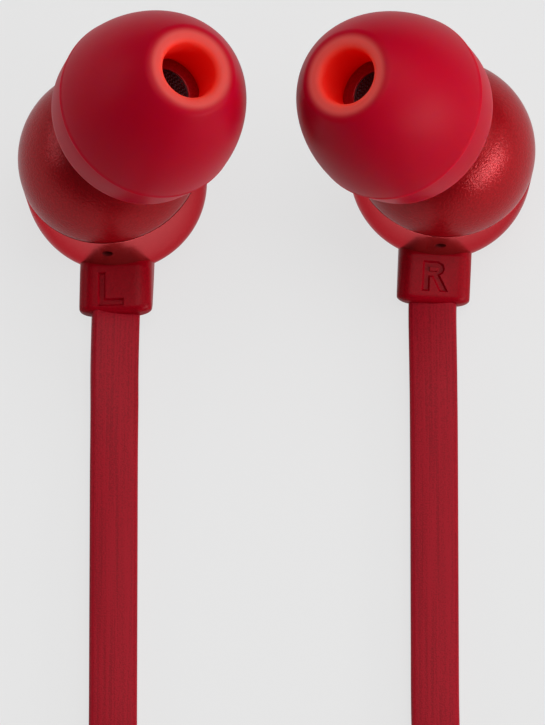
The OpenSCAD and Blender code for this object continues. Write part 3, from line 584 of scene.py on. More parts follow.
def nozzle_place(side):
    """The nozzle's frame: Z along it, 0 where its axis crosses the housing's."""
    s = bpy.context.scene.earphone_sizes
    base, angle = bud_place(side)
    return base @ Matrix.Translation((0, 0, s.seam_z + s.nozzle_rise)) \
        @ Matrix.Rotation(-s.nozzle_turn, 4, "Z") @ Matrix.Rotation(angle, 4, "Y")


SIDES = ("left", "right")
TIP_SEAT = 0.8  # from the tip's widest place down to the end of its sleeve


class MakeEarTips(bpy.types.Operator):
    """Ear tips: a silicone dome with a rounded mouth, a skirt and an inner sleeve"""
    bl_idname = "earphones.make_ear_tips"
    bl_label = "Ear tips"

    def execute(self, context):
        s = context.scene.earphone_sizes
        c = context.scene.earphone_colours
        skin = silicone(c.silicone, c.silicone_lip_glow)
        outline, values = self.outline(s)
        for side in SIDES:
            pull = s.left_pull if side == "left" else s.right_pull
            place = nozzle_place(side) @ Matrix.Translation((0, 0, s.collar_end + TIP_SEAT + pull))
            bm = bmesh.new()
            lathe(bm, outline, place, 160, values)
            make_piece(side + "_tip", bm, skin, side + "_tip", [side + "_ear_tip"], 50)
        return {"FINISHED"}

    def outline(self, s):
        """The tip's section, and for each point how near it is to the mouth and its bore, which places the painted
        rim colour and painted glow.
        """
        tip_r, wall, sleeve_r, socket_r = s.tip_d / 2, 0.55, 3.1, 2.53
        mouth_r, lip_angle, roll = 1.85, 43, 0.5
        seat, hollow_top, sleeve_top = -TIP_SEAT, 4.9, 4.1
        rim_value, roll_value, bore_low = 0.42, 0.6, 4.2

        def dome(z):
            return tip_r * math.sqrt(1 - (z / s.dome_h) ** 1.6)

        def skirt(z):
            return (tip_r - 0.05) - (tip_r - 0.05 - s.skirt_d / 2) * (-z / s.skirt_h) ** 1.5

        edge = dome(s.mouth_z)
        lip = (edge - mouth_r) / (1 + math.cos(math.radians(lip_angle)))
        mid = (mouth_r + lip, s.mouth_z - lip * math.sin(math.radians(lip_angle)))
        crest = mid[1] + lip
        # the skirt's rim, the widest place with its faint moulding line, the dome and the lip
        points = [(skirt(-s.skirt_h) - 0.1, -s.skirt_h), (skirt(-s.skirt_h), -s.skirt_h + 0.1)]
        points += [(skirt(z), z) for z in (-2.2, -1.8, -1.4, -1.0, -0.6, -0.3, -0.08)]
        points += [(tip_r - 0.04, -0.05), (tip_r + 0.03, -0.02), (tip_r + 0.03, 0.02),
                   (dome(0.05), 0.06)]
        points += [(dome(s.mouth_z * k / 40), s.mouth_z * k / 40) for k in range(2, 41)]
        points += [(mid[0] + lip * math.cos(math.radians(a)),
                    mid[1] + lip * math.sin(math.radians(a))) for a in range(lip_angle + 5, 91, 6)]
        points += [(lerp(mid[0], mouth_r + roll, k / 4), crest) for k in range(1, 4)]
        # the rim's place on the ramp of painted rim colour and painted glow, fading out past 2.45 mm
        values = [rim_value * (1 - smooth((r - 2.45) / 0.55)) if z > 5.8 else 0.0
                  for r, z in points]
        # the roll into the bore, and the bore down to its bottom
        for k in range(10):
            a = math.radians(90 + 10 * k)
            points.append((mouth_r + roll + roll * math.cos(a), crest - roll + roll * math.sin(a)))
            values.append(lerp(rim_value, roll_value, smooth(k / 9)))
        points += [(mouth_r, lerp(crest - roll, bore_low, k / 10)) for k in range(1, 11)]
        values += [lerp(0.62, 1.0, k / 10) for k in range(1, 11)]
        # the sleeve on the nozzle, and the dome's and the skirt's inner walls
        inner = [(socket_r, sleeve_top), (socket_r, seat), (sleeve_r, seat),
                 (sleeve_r, hollow_top)]
        inner += [(dome(z) - wall, z) for z in (5.3, 4.6, 3.9, 3.2, 2.4, 1.6, 0.8, 0.2)]
        inner += [(skirt(z) - wall, z) for z in (-0.4, -1.0, -1.6, -2.1)]
        inner += [(skirt(-s.skirt_h) - wall + 0.1, -s.skirt_h)]
        values += [1.0] * 2 + [0.0] * (len(inner) - 2)
        return points + inner, values


class MakeFrontHousings(bpy.types.Operator):
    """Front housings: a textured dome with a collar, a nozzle and a lip for the ear tip"""
    bl_idname = "earphones.make_front_housings"
    bl_label = "Front housings"

    def execute(self, context):
        s = context.scene.earphone_sizes
        skin = textured_plastic(context.scene.earphone_colours.housing)
        r, wall, top = s.housing_d / 2, s.housing_wall, s.seam_z + s.band_h
        inner_r, lap, spigot = r - wall, r - 0.4, 0.9
        dome = [(r * math.cos(a), top + r * math.sin(a))
                for a in (math.radians(d) for d in range(0, 91, 3))]
        dome[-1] = (0.0, top + r)
        hollow = [(inner_r * math.cos(a), top + inner_r * math.sin(a))
                  for a in (math.radians(d) for d in range(90, -1, -6))]
        hollow[0] = (0.0, top + r - wall)
        # the spigot's wall, the lap over the cover, and the seam's softened edge
        outline = dome + hollow + [
            (inner_r, s.seam_z - spigot), (inner_r + 0.001, s.seam_z + 0.02),
            (lap, s.seam_z + 0.02), (lap, s.seam_z + 0.05), (r - 0.06, s.seam_z + 0.05),
            (r - 0.02, s.seam_z + 0.065), (r, s.seam_z + 0.11)]
        root, collar_r, nozzle_r, lip_r = 3.6, 3.15, 2.2, 2.5
        bore_r, mouth_r, mesh_r, end = 1.6, 1.66, 1.92, s.nozzle_end
        tube = rounded([
            (collar_r, root, 0), (collar_r, s.collar_end, 0.12), (nozzle_r, s.collar_end, 0.1),
            (nozzle_r, end - 0.75, 0.08), (lip_r, end - 0.6, 0.08), (lip_r, end, 0.15),
            (mouth_r, end, 0.06), (mouth_r, end - 0.1, 0), (mesh_r, end - 0.1, 0),
            (mesh_r, end - 0.3, 0), (bore_r, end - 0.3, 0), (bore_r, root, 0)])
        for side in SIDES:
            base, _ = bud_place(side)
            bm = bmesh.new()
            lathe(bm, outline, base, 160)
            lathe(bm, tube, nozzle_place(side), 96)
            make_piece(side + "_housing", bm, skin, "set",
                       [side + "_front_housing"])
        return {"FINISHED"}


class MakeNozzleMeshes(bpy.types.Operator):
    """Nozzle meshes: a round of plain weave in a thin ring, at the end of each nozzle"""
    bl_idname = "earphones.make_nozzle_meshes"
    bl_label = "Nozzle meshes"

    def execute(self, context):
        s = context.scene.earphone_sizes
        skin = metal("#5a3a3e", "steel_mesh_blackened", 0.45, 0.12)
        r, end = 1.88, s.nozzle_end
        inside, low, high = r - 0.24, end - 0.28, end - 0.12
        ring = rounded([(inside, low, 0.03), (r, low, 0), (r, high, 0), (inside, high, 0.03)])
        for side in SIDES:
            place = nozzle_place(side)
            bm = grown(woven_tree(), {"Radius": r - 0.2, "Pitch": s.mesh_pitch,
                                      "Wire": s.mesh_wire, "Material": skin})
            bmesh.ops.transform(bm, matrix=place @ Matrix.Translation((0, 0, end - 0.2)),
                                verts=bm.verts)
            lathe(bm, ring, place, 96)
            make_piece(side + "_woven_mesh", bm, skin, "set", [side + "_nozzle_mesh"], 60)
        return {"FINISHED"}


class MakeBackCovers(bpy.types.Operator):
    """Back covers: satin shells with a rounded shoulder, a seam and a pressure vent"""
    bl_idname = "earphones.make_back_covers"
    bl_label = "Back covers"

    def execute(self, context):
        s = context.scene.earphone_sizes
        skin = anodised(context.scene.earphone_colours.cover)
        r, low, wall = s.housing_d / 2, s.back_d / 2, s.housing_wall
        inner_r, lap, floor_z, seam = r - wall, r - 0.4, 0.9, s.seam_z
        cap_r, rebate_r, rebate_z = 3.9, 4.3, 0.5
        vent_r, vent_z, vent_l = 0.35, 4.5, 2.2
        shoulder = [(low + (r - low) * math.sin(a), s.shoulder_h * (1 - math.cos(a)))
                    for a in (math.radians(d) for d in range(0, 91, 5))]
        inside = [(low - 0.1 + (inner_r - low + 0.1) * math.sin(a),
                   floor_z + (s.shoulder_h - 0.5) * (1 - math.cos(a)))
                  for a in (math.radians(d) for d in range(90, -1, -10))]
        # the shoulder, the seam's softened edge, the inner wall and the rebate for the cap
        outline = shoulder + [
            (r, seam - 0.12), (r - 0.02, seam - 0.065), (r - 0.06, seam - 0.05),
            (lap, seam - 0.05), (lap, seam - 0.02), (inner_r, seam - 0.02)]
        outline += inside + [(cap_r, floor_z), (cap_r, rebate_z), (rebate_r, rebate_z),
                             (rebate_r, 0.0)]
        for side in SIDES:
            base, _ = bud_place(side)
            bm = bmesh.new()
            lathe(bm, outline, base, 160)
            cover = make_piece(side + "_cover", bm, skin, "set",
                               [side + "_back_cover"])
            bm = bmesh.new()
            hole = base @ Matrix.Translation((-0.15, -r - 0.4, vent_z)) @ Matrix.Rotation(
                math.radians(-90), 4, "X")
            lathe(bm, [(0, 0), (vent_r, 0), (vent_r, vent_l), (0, vent_l)], hole, 32)
            cut_away(cover, bm)
        return {"FINISHED"}


class MakeStrainReliefs(bpy.types.Operator):
    """Strain reliefs: rubber wedges with rounded ends and a sunk side mark"""
    bl_idname = "earphones.make_strain_reliefs"
    bl_label = "Strain reliefs"

    # Outlines of the side marks, in millimetres: x across the relief, y towards the bud
    marks = {"left": [[(-0.95, 0.93), (-0.95, -1.12), (0.55, -1.12), (0.55, -0.84),
                       (-0.67, -0.84), (-0.67, 0.93)]],
             "right": [[(-0.72, -0.82), (-0.44, -0.82), (-0.44, 0.12), (-0.12, 0.12),
                        (0.4, -0.82), (0.72, -0.82), (0.14, 0.2), (0.42, 0.36), (0.5, 0.58),
                        (0.42, 0.8), (0.14, 0.96), (-0.72, 0.96)],
                       [(-0.44, 0.36), (-0.44, 0.72), (0.1, 0.72), (0.22, 0.62), (0.22, 0.46),
                        (0.1, 0.36)]]}

    def execute(self, context):
        s = context.scene.earphone_sizes
        skin = rubber(context.scene.earphone_colours.rubber)
        low, end, root, inner_y = 0.15, -s.relief_reach, -s.housing_d / 2, -4.5
        slices, flat_share, taper = 16, 0.6, 0.7
        profile = rounded([
            (inner_y, low, 0), (inner_y, low + s.relief_h, 0), (root, low + s.relief_h, 0.4),
            (end + 0.02, low + s.relief_end_h + 0.03, 0.5), (end + 0.08, low + 0.9, 0.25),
            (end + 0.5, low + 0.3, 0.25), (-6.2, low, 0.3)], 6)
        middle = low + 1.0
        for side in SIDES:
            base, _ = bud_place(side)
            bm = bmesh.new()
            rings = []
            for k in range(-slices, slices + 1):
                # u runs from side to side, -1 to 1, and its outer parts are rounded off
                u = math.sin(math.radians(k * 90 / slices))
                t = max(0.0, (abs(u) - flat_share) / (1 - flat_share))
                round_off = 1 - math.sqrt(max(0.0, 1 - t * t))
                share = 1 - taper * round_off
                back = 0.11 * u * u + 0.4 * round_off
                rings.append([bm.verts.new(base @ Vector((
                    u * s.relief_w / 2, y + back * min(max((root - 0.2 - y) / 2, 0), 1),
                    middle + (z - middle) * share))) for y, z in profile])
            n = len(profile)
            for a, b in zip(rings, rings[1:]):
                for k in range(n):
                    bm.faces.new([a[k], a[(k + 1) % n], b[(k + 1) % n], b[k]])
            bm.faces.new(rings[0])
            bm.faces.new(rings[-1][::-1])
            piece = make_piece(side + "_relief", bm, skin, "set",
                               [side + "_strain_relief"], 45)
            slope = math.atan((s.relief_h - s.relief_end_h) / (root - end))
            along = 0.53
            centre = Vector((0, lerp(end, root, along),
                             low + lerp(s.relief_end_h, s.relief_h, along)))
            face = base @ Matrix.Translation(centre) @ Matrix.Rotation(slope, 4, "X")
            self.sink(piece, face, self.marks[side], -1 if side == "right" else 1)
        return {"FINISHED"}

    def sink(self, piece, face, outlines, flip, depth=0.15):
        """Cuts a mark with sloped walls; a second outline stays as an island in it."""
        floor, *islands = [[(flip * x, y) for x, y in outline] for outline in outlines]
        wide = spread(floor, 0.8 * depth)
        bm = bmesh.new()
        stack(bm, [(-depth, floor), (0.0, wide), (0.4, wide)], face)
        mark = mesh_object("mark", bm)
        for island in islands:
            narrow = spread(island, -0.06)
            bm = bmesh.new()
            stack(bm, [(-depth - 0.1, island), (0.0, narrow), (0.5, narrow)], face)
            cut_away(mark, bm)
        cutter = bmesh.new()
        cutter.from_mesh(mark.data)
        bpy.data.objects.remove(mark)
        cut_away(piece, cutter)


# ---- Cord routes, in millimetres: the same as the solids' ----
# The coil is an oval: two bends round COIL_X, at NORTH_Y and SOUTH_Y, joined by straight runs.
# It is walked in half turns, and each cord has its own distance r from the middle.
COIL_X, NORTH_Y, RUN = -1.2, -71.0, 30.0
SOUTH_Y = NORTH_Y - RUN
LOWER_Z, UPPER_Z, PLUG_Z = 2.2, 5.8, 6.825       # heights of the two layers and of the plug
INNER_R, STEP = 7.8, 1.6                         # the main cord's innermost turn, turn to turn
SPLITTER_R, PLUG_R = 14.7, 16.4
LEFT_WEST_R, PAIR_STEP = 17.7, 3.85              # the left branch on the west side, turn to turn
PAIR, BUMP = 1.7, 1.4                            # between the branches, and more at the remote
LEFT_START_R = LEFT_WEST_R + PAIR_STEP * 0.75
SPLITTER_Y, SPLITTER_L = SOUTH_Y + 6, 15.0
REMOTE_L = 22.0
REMOTE_Y = SOUTH_Y + (RUN - REMOTE_L) / 2
IN_HALVES = 6                        # half turns in to the innermost, and as many out again
LAST = 2 * IN_HALVES
LEFT_LEAD = 3.15                     # from the coil's middle to where the left branch joins it
PER_ROW = 8                          # points of a cord from one row of its route to the next
ON_EDGE = 90                         # roll, in degrees, of a cord that stands on its edge
LEFT_ROUTE = [
    (-10.6, -11.4, 1.35, -6.5), (-10.6, -14, 0.85, -3), (-10.62, -18, 0.55, 0),
    (-10.62, -24, 0.55, 0), (-10.62, -30, 0.55, 0), (-10.62, -36, 0.55, 0),
    (-10.62, -39, 0.7, 4), (-10.55, -42, 1.4, 22), (-10.3, -44.8, 1.9, 44),
    (-9.5, -47.4, 2.2, 66), (-7.4, -49.6, 2.2, 84)]
RIGHT_ROUTE = [
    (10.35, -11.4, 0.8, 2), (10.37, -14, 0.62, 0), (10.38, -18, 0.55, 0),
    (10.38, -24, 0.55, 0), (10.38, -30, 0.55, 0), (10.4, -36, 0.55, 0),
    (10.5, -39, 0.7, 4), (11.1, -42.5, 1.3, 20), (12.8, -47, 1.9, 46),
    (15.4, -52, 2.2, 72), (17.8, -57, 2.2, 86), (19.3, -62, 2.2, 90), (20.1, -67, 2.2, 90)]


def left_r(t):
    """The left branch's distance from the coil's middle at half turn t."""
    return LEFT_START_R - PAIR_STEP * (t - 0.5) / 2


def right_r(t):
    """The right branch's, which stands off further where the remote is."""
    return left_r(t) + PAIR + BUMP * (smooth(t - 1) if t < 2 else 1 - smooth((t - 2) * 2))


def main_r(t):
    """The main cord's, from the splitter inwards and out again to the plug."""
    if t <= IN_HALVES:
        inward = INNER_R + STEP / 2 * (IN_HALVES - t + 1 - smooth(t - IN_HALVES + 1))
        start = INNER_R + STEP / 2 * (IN_HALVES + 1)
        return inward + (SPLITTER_R - start) * (1 - smooth(t / 2))
    if t <= IN_HALVES + 1:
        return INNER_R
    out = min(t, LAST) - IN_HALVES - 1
    r = INNER_R + STEP / 2 * (out + smooth(out))
    return r if t <= LAST else lerp(r, PLUG_R, smooth(t - LAST))


def main_z(t):
    """The main cord's height: the lower layer, then the upper one, then the plug."""
    if t <= LAST:
        return lerp(LOWER_Z, UPPER_Z, smooth(t - IN_HALVES))
    return lerp(UPPER_Z, PLUG_Z, smooth(t - LAST))


def turns(start, end, radius, height, per_half=36, straight=10):
    """Points of the coil from half turn start to end, with points along each straight run."""
    out = []
    half = int(start)
    while half < end - TINY:
        first, last = max(start, half), min(end, half + 1)
        count = max(2, round(per_half * (last - first)))
        y0 = NORTH_Y if half % 2 == 0 else SOUTH_Y
        for k in range(count + 1):
            t = lerp(first, last, k / count)
            a = math.radians(180 - 180 * t)
            r = radius(t)
            out.append((COIL_X + r * math.cos(a), y0 + r * math.sin(a), height(t)))
        if last < end - TINY:
            y1 = SOUTH_Y if half % 2 == 0 else NORTH_Y
            x, _, z = out[-1]
            out += [(x, lerp(y0, y1, k / straight), z) for k in range(1, straight)]
        half += 1
    return out


def level(_):
    """The branches' height all along."""
    return LOWER_Z


def straight_to(points, x, y, count=4):
    """Adds a straight level stretch from the last point to (x, y)."""
    x0, y0, z = points[-1]
    return points + [(lerp(x0, x, k / count), lerp(y0, y, k / count), z)
                     for k in range(1, count + 1)]


def through(rows):
    """A smooth curve through rows of numbers (Catmull-Rom, by chord length)."""
    rows = [tuple(r) for r in rows]
    first = tuple(2 * a - b for a, b in zip(rows[0], rows[1]))
    last = tuple(2 * a - b for a, b in zip(rows[-1], rows[-2]))
    full = [first] + rows + [last]
    out = []
    for i in range(1, len(full) - 2):
        p = full[i - 1:i + 3]
        knots = [0.0]
        for a, b in zip(p, p[1:]):
            knots.append(knots[-1] + math.dist(a[:3], b[:3]) ** 0.5)
        for k in range(PER_ROW):
            t = lerp(knots[1], knots[2], k / PER_ROW)
            level1 = [[lerp(a, b, (t - knots[j]) / (knots[j + 1] - knots[j]))
                       for a, b in zip(p[j], p[j + 1])] for j in range(3)]
            level2 = [[lerp(a, b, (t - knots[j]) / (knots[j + 2] - knots[j]))
                       for a, b in zip(level1[j], level1[j + 1])] for j in range(2)]
            out.append([lerp(a, b, (t - knots[1]) / (knots[2] - knots[1]))
                        for a, b in zip(*level2)])
    out.append(list(rows[-1]))
    return out


def flat_cord(name, rows, material, nodes):
    s = bpy.context.scene.earphone_sizes
    path = [tuple(c * MM for c in row[:3]) for row in rows]
    route = bpy.data.meshes.new("route")
    route.from_pydata(path, [(i, i + 1) for i in range(len(rows) - 1)], [])
    roll = route.attributes.new("roll", "FLOAT", "POINT")
    roll.data.foreach_set("value", [math.radians(row[3]) for row in rows])
    bm = grown(flat_cord_tree(), {"Width": s.cord_w * MM, "Thickness": s.cord_t * MM,
                                  "Edge Radius": s.cord_edge * MM, "Material": material}, route)
    made = make_piece(name, bm, material, "set", nodes, 60)


def on_edge(points):
    """Rows of a cord that stands on its edge."""
    return [(*p, ON_EDGE) for p in points]


def from_bud(side, rows, coil):
    """Rows of a cord from where it is moulded in, along its free run, and round the coil."""
    return through(out_of_relief(side) + rows + on_edge(coil[:1])) + on_edge(coil[1:])


def out_of_relief(side):
    """The cord's first two rows: where it is moulded in, and just outside the strain relief."""
    s = bpy.context.scene.earphone_sizes
    base, _ = bud_place(side)
    start, leave = (base @ Vector((0, y, 1.1)) / MM
                    for y in (-s.relief_reach + 0.7, -s.relief_reach - 0.2))
    d = (leave - start).normalized()
    sideways = base.to_3x3() @ Vector((1 if side == "left" else -1, 0, 0))
    flat = Vector((d.y, -d.x, 0)).normalized()
    roll = math.degrees(math.atan2(-flat.cross(d).dot(sideways), -flat.dot(sideways)))
    return [(*start, roll), (*leave, roll)]


def set_down(x, y, z, axes):
    """A place on the coil, in millimetres, with its own X, Y and Z along the given axes."""
    base = Matrix([Vector(a) for a in axes]).transposed().to_4x4()
    base.translation = Vector((x, y, z)) * MM
    return base @ Matrix.Diagonal((MM, MM, MM, 1))


class MakeRemoteButton(bpy.types.Operator):
    """Remote's button: a pad with rounded edges and a row of grip ridges"""
    bl_idname = "earphones.make_remote_button"
    bl_label = "Remote button"

    def execute(self, context):
        skin = plain_plastic("#1c1c1f", "abs_black", 0.4)
        place = set_down(COIL_X - right_r(2), REMOTE_Y + REMOTE_L / 2, LOWER_Z,
                         ((0, 1, 0), (0, 0, -1), (-1, 0, 0)))
        bottom, edge_low, edge_high, face, ridge_z = 1.2, 2.28, 2.38, 2.42, 2.35
        bm = grown(ridges_tree(), {"Count": 9, "Pitch": 0.6, "Length": 1.5, "Radius": 0.13,
                                   "Material": skin})
        bmesh.ops.transform(bm, matrix=place @ Matrix.Translation((0, 0, ridge_z)),
                            verts=bm.verts)
        pad = slab(8.0, 2.4, 0.75)
        stack(bm, [(bottom, pad), (edge_low, pad), (edge_high, spread(pad, -0.05)),
                   (face, spread(pad, -0.15))], place)
        make_piece("remote_button_pad", bm, skin, "button", ["remote_button"])
        return {"FINISHED"}


class MakeSplitter(bpy.types.Operator):
    """Splitter: a moulded block that tapers to the main cord, with flexing grooves"""
    bl_idname = "earphones.make_splitter"
    bl_label = "Splitter"

    def execute(self, context):
        skin = rubber(context.scene.earphone_colours.rubber, "tpe_moulded_fittings")
        place = set_down(COIL_X - SPLITTER_R, SPLITTER_Y, LOWER_Z,
                         ((1, 0, 0), (0, 0, -1), (0, 1, 0)))

        full, wide, narrow, groove = 1.9, 4.4, 1.2, 0.22
        taper_z, taper_l = 8, 7

        def half(z):
            """Half of the block's thickness at height z, without its grooves."""
            return full if z < taper_z else lerp(full, narrow, (z - taper_z) / taper_l)

        rows = [(0.0, 1.2, 4.0), (0.15, 1.4, 4.3), (1.0, 1.86, wide), (1.4, full, wide),
                (7.7, full, wide), (8.4, 1.85, wide)]
        for z in (9.6, 10.9, 12.2, 13.5):
            rows += [(z - 0.34, half(z - 0.34), wide), (z - 0.24, half(z) - 0.1, 4.1),
                     (z - 0.16, half(z) - groove, 3.9), (z + 0.16, half(z) - groove, 3.9),
                     (z + 0.24, half(z) - 0.1, 4.1), (z + 0.34, half(z + 0.34), wide)]
        rows += [(14.7, 1.22, 4.3), (SPLITTER_L, 1.05, 4.0)]
        bm = bmesh.new()
        stack(bm, [(z, slab(2 * w, h, 0.6)) for z, w, h in rows], place)
        make_piece("splitter_moulded", bm, skin, "set", ["splitter"], 40)
        return {"FINISHED"}


class MakePlug(bpy.types.Operator):
    """Plug: a ribbed boot, a turned handle and the pin's gold contacts"""
    bl_idname = "earphones.make_plug"
    bl_label = "Plug"

    def execute(self, context):
        place = set_down(COIL_X + PLUG_R, NORTH_Y, PLUG_Z, ((1, 0, 0), (0, 0, 1), (0, -1, 0)))
        boot, shank, r = 6.4, 18.4, 3.0
        boot_r, boot_end_r, groove_r, groove_w = 2.4, 2.7, 2.15, 0.7
        socket_r, inset_r, ring_deep = 1.28, 1.3, 0.14
        pin, core, tip, corner = 1.75, 1.0, 28.8, 0.08

        def side(z):
            return lerp(boot_r, boot_end_r, z / boot)

        outline = [(0, 0, 0), (boot_r, 0, 0.35)]
        for z in (1.4, 3.0, 4.6):
            outline += [(side(z), z, 0.2), (groove_r, z + 0.05, 0.1), (groove_r, z + 0.65, 0.1),
                        (side(z + groove_w), z + groove_w, 0.2)]
        outline += [(boot_end_r, boot - 0.02, 0.15), (socket_r, boot - 0.02, 0),
                    (socket_r, boot + 3, 0), (0, boot + 3, 0)]
        turned_piece("plug_boot_ribbed", outline, place, 96,
                     bpy.data.materials["tpe_moulded_fittings"], "plug_boot")

        outline = [(inset_r, boot, 0), (r - 0.05, boot, 0.3)]
        for z in (boot + 1.2, boot + 1.8):
            outline += [(r, z, 0.04), (r - ring_deep, z + 0.06, 0.04),
                        (r - ring_deep, z + 0.24, 0.04), (r, z + 0.3, 0.04)]
        outline += [(r, shank - 0.5, 0.4), (r - 0.55, shank, 0.12), (inset_r, shank, 0)]
        turned_piece("plug_handle_turned", outline, place, 128,
                     anodised(context.scene.earphone_colours.fittings,
                              "aluminium_anodised_turned"), "plug_handle")

        gold = metal("#d8ab55", "gold_plated_brass", 0.2)
        for name, low, high in (("plug_sleeve", shank, 22.9), ("plug_lower_ring", 23.6, 25.5),
                                ("plug_upper_ring", 26.2, 28.1)):
            turned_piece(name + "_turned", [(core, low, 0), (pin, low, corner),
                                            (pin, high, corner), (core, high, 0)],
                         place, 96, gold, name)
        # the tip's waist, which the socket's spring drops into, and its bullet nose
        outline = [(core, tip, 0), (pin, tip, corner), (pin, tip + 0.5, 0.15),
                   (1.2, tip + 1.2, 0.2), (1.5, tip + 1.9, 0.25), (1.5, tip + 2.2, 0.3),
                   (1.1, tip + 3.3, 0.4), (0.5, tip + 3.6, 0.15), (0, tip + 3.6, 0)]
        turned_piece("plug_tip_turned", outline, place, 96, gold, "plug_tip")
        return {"FINISHED"}


class MakeTie(bpy.types.Operator):
    """Tie: a closed band of hook-and-loop tape round the coil, with its end pressed down"""
    bl_idname = "earphones.make_tie"
    bl_label = "Tie"

    def execute(self, context):
        width, t, gap = 4.0, 0.45, 0.55
        half_cord, rise = 0.9, 1.975 + t / 2
        out_y, in_y = right_r(1.5) + half_cord + t / 2, INNER_R - gap - t / 2
        top_y = INNER_R + STEP / 2 * 5.5 + 1.15
        low, high = LOWER_Z + 2.275, UPPER_Z + rise
        lap_out, lap = 0.15, 0.6
        place = set_down(COIL_X, SOUTH_Y, 0, ((1, 0, 0), (0, 1, 0), (0, 0, 1)))
        bm = bmesh.new()
        strap(bm, rounded([(-out_y, t / 2, 0.6), (-in_y, t / 2, 0.6), (-in_y, high, 0.8),
                           (-top_y, high, 2.0), (-out_y, low, 1.2)]), place, width, t, True)
        # the end of the tape, pressed down on the band
        over = rounded([(-in_y - 1.2, high + t, 0), (-top_y - lap_out, high + t, 2.4),
                        (lerp(-top_y, -out_y, lap) - lap_out, lerp(high, low, lap) + t, 0)])
        strap(bm, over, place, width - 0.1, t - 0.05, False)
        make_piece("tie_band", bm, pile("#1d1d20"), "set", ["cord_tie"], 60)
        return {"FINISHED"}


class MakeCords(bpy.types.Operator):
    """Flat cords: two branches, the one with the remote in two lengths, and the main cord"""
    bl_idname = "earphones.make_cords"
    bl_label = "Cords"

    def execute(self, context):
        skin = cord_jacket(context.scene.earphone_colours.cord)
        coil = [(COIL_X - LEFT_LEAD, NORTH_Y + left_r(0.5), LOWER_Z)] \
            + turns(0.5, 4, left_r, level)
        coil = straight_to(coil, COIL_X - left_r(4), SPLITTER_Y)
        flat_cord("left_flat_cord", from_bud("left", LEFT_ROUTE, coil), skin,
                  ["left_cord", "left_branch_coil"])

        x = COIL_X + right_r(1)
        coil = straight_to([(x, NORTH_Y, LOWER_Z)], x, SOUTH_Y, 10)
        x = COIL_X - right_r(2)
        coil = straight_to(coil + turns(1, 2, right_r, level)[1:], x, REMOTE_Y)
        flat_cord("right_flat_cord", from_bud("right", RIGHT_ROUTE, coil), skin,
                  ["right_cord", "right_branch_coil"])

        coil = straight_to([(x, REMOTE_Y + REMOTE_L, LOWER_Z)], x, NORTH_Y)
        coil += turns(2, 4, right_r, level)[1:]
        coil = straight_to(coil, COIL_X - right_r(4), SPLITTER_Y)
        flat_cord("remote_flat_cord", on_edge(coil), skin, ["remote_branch_coil"])

        x = COIL_X - SPLITTER_R
        coil = straight_to([(x, SPLITTER_Y + SPLITTER_L, LOWER_Z)], x, NORTH_Y)
        coil += turns(0, LAST + 1, main_r, main_z)[1:]
        flat_cord("main_flat_cord", on_edge(coil), skin, ["main_cord_coil"])
        return {"FINISHED"}


class DressNodes(bpy.types.Operator):
    """Finishes for the solids that are shown as they are"""
    bl_idname = "earphones.dress_nodes"
    bl_label = "Finishes"

    def execute(self, context):
        finishes = {
            "anodised_cover": bpy.data.materials["aluminium_anodised"],
            "moulded_rubber": bpy.data.materials["tpe_moulded"],
            "steel": metal("#a9aaad", "steel_nickel_plated"),
            "black_plastic": bpy.data.materials["abs_black"],
            "mesh": bpy.data.materials["steel_mesh_blackened"],
            "copper": metal("#b5672f", "copper_enamelled", 0.35),
            "gold_plate": bpy.data.materials["gold_plated_brass"],
            "circuit_board": plain_plastic("#1d5a38", "solder_resist", 0.3),
            "film": plain_plastic("#d8d2c0", "pet_film", 0.25),
            "silicone": bpy.data.materials["silicone_moulded"],
            "moulded_plastic": bpy.data.materials["abs_spark_textured"],
            "cord_jacket": bpy.data.materials["tpe_extruded"],
        }
        slots = {row["node"]: row["material_slot"] for row in frame["record"]["subparts"]}
        for name, node in frame["nodes"].items():
            chosen = finishes[slots[name]]
            if name in ("remote_front_shell", "remote_back_shell"):
                chosen = bpy.data.materials["aluminium_anodised_turned"]
            for holder in node.material_slots:
                holder.material = chosen
            if not node.material_slots:
                node.data.materials.append(chosen)
        return {"FINISHED"}


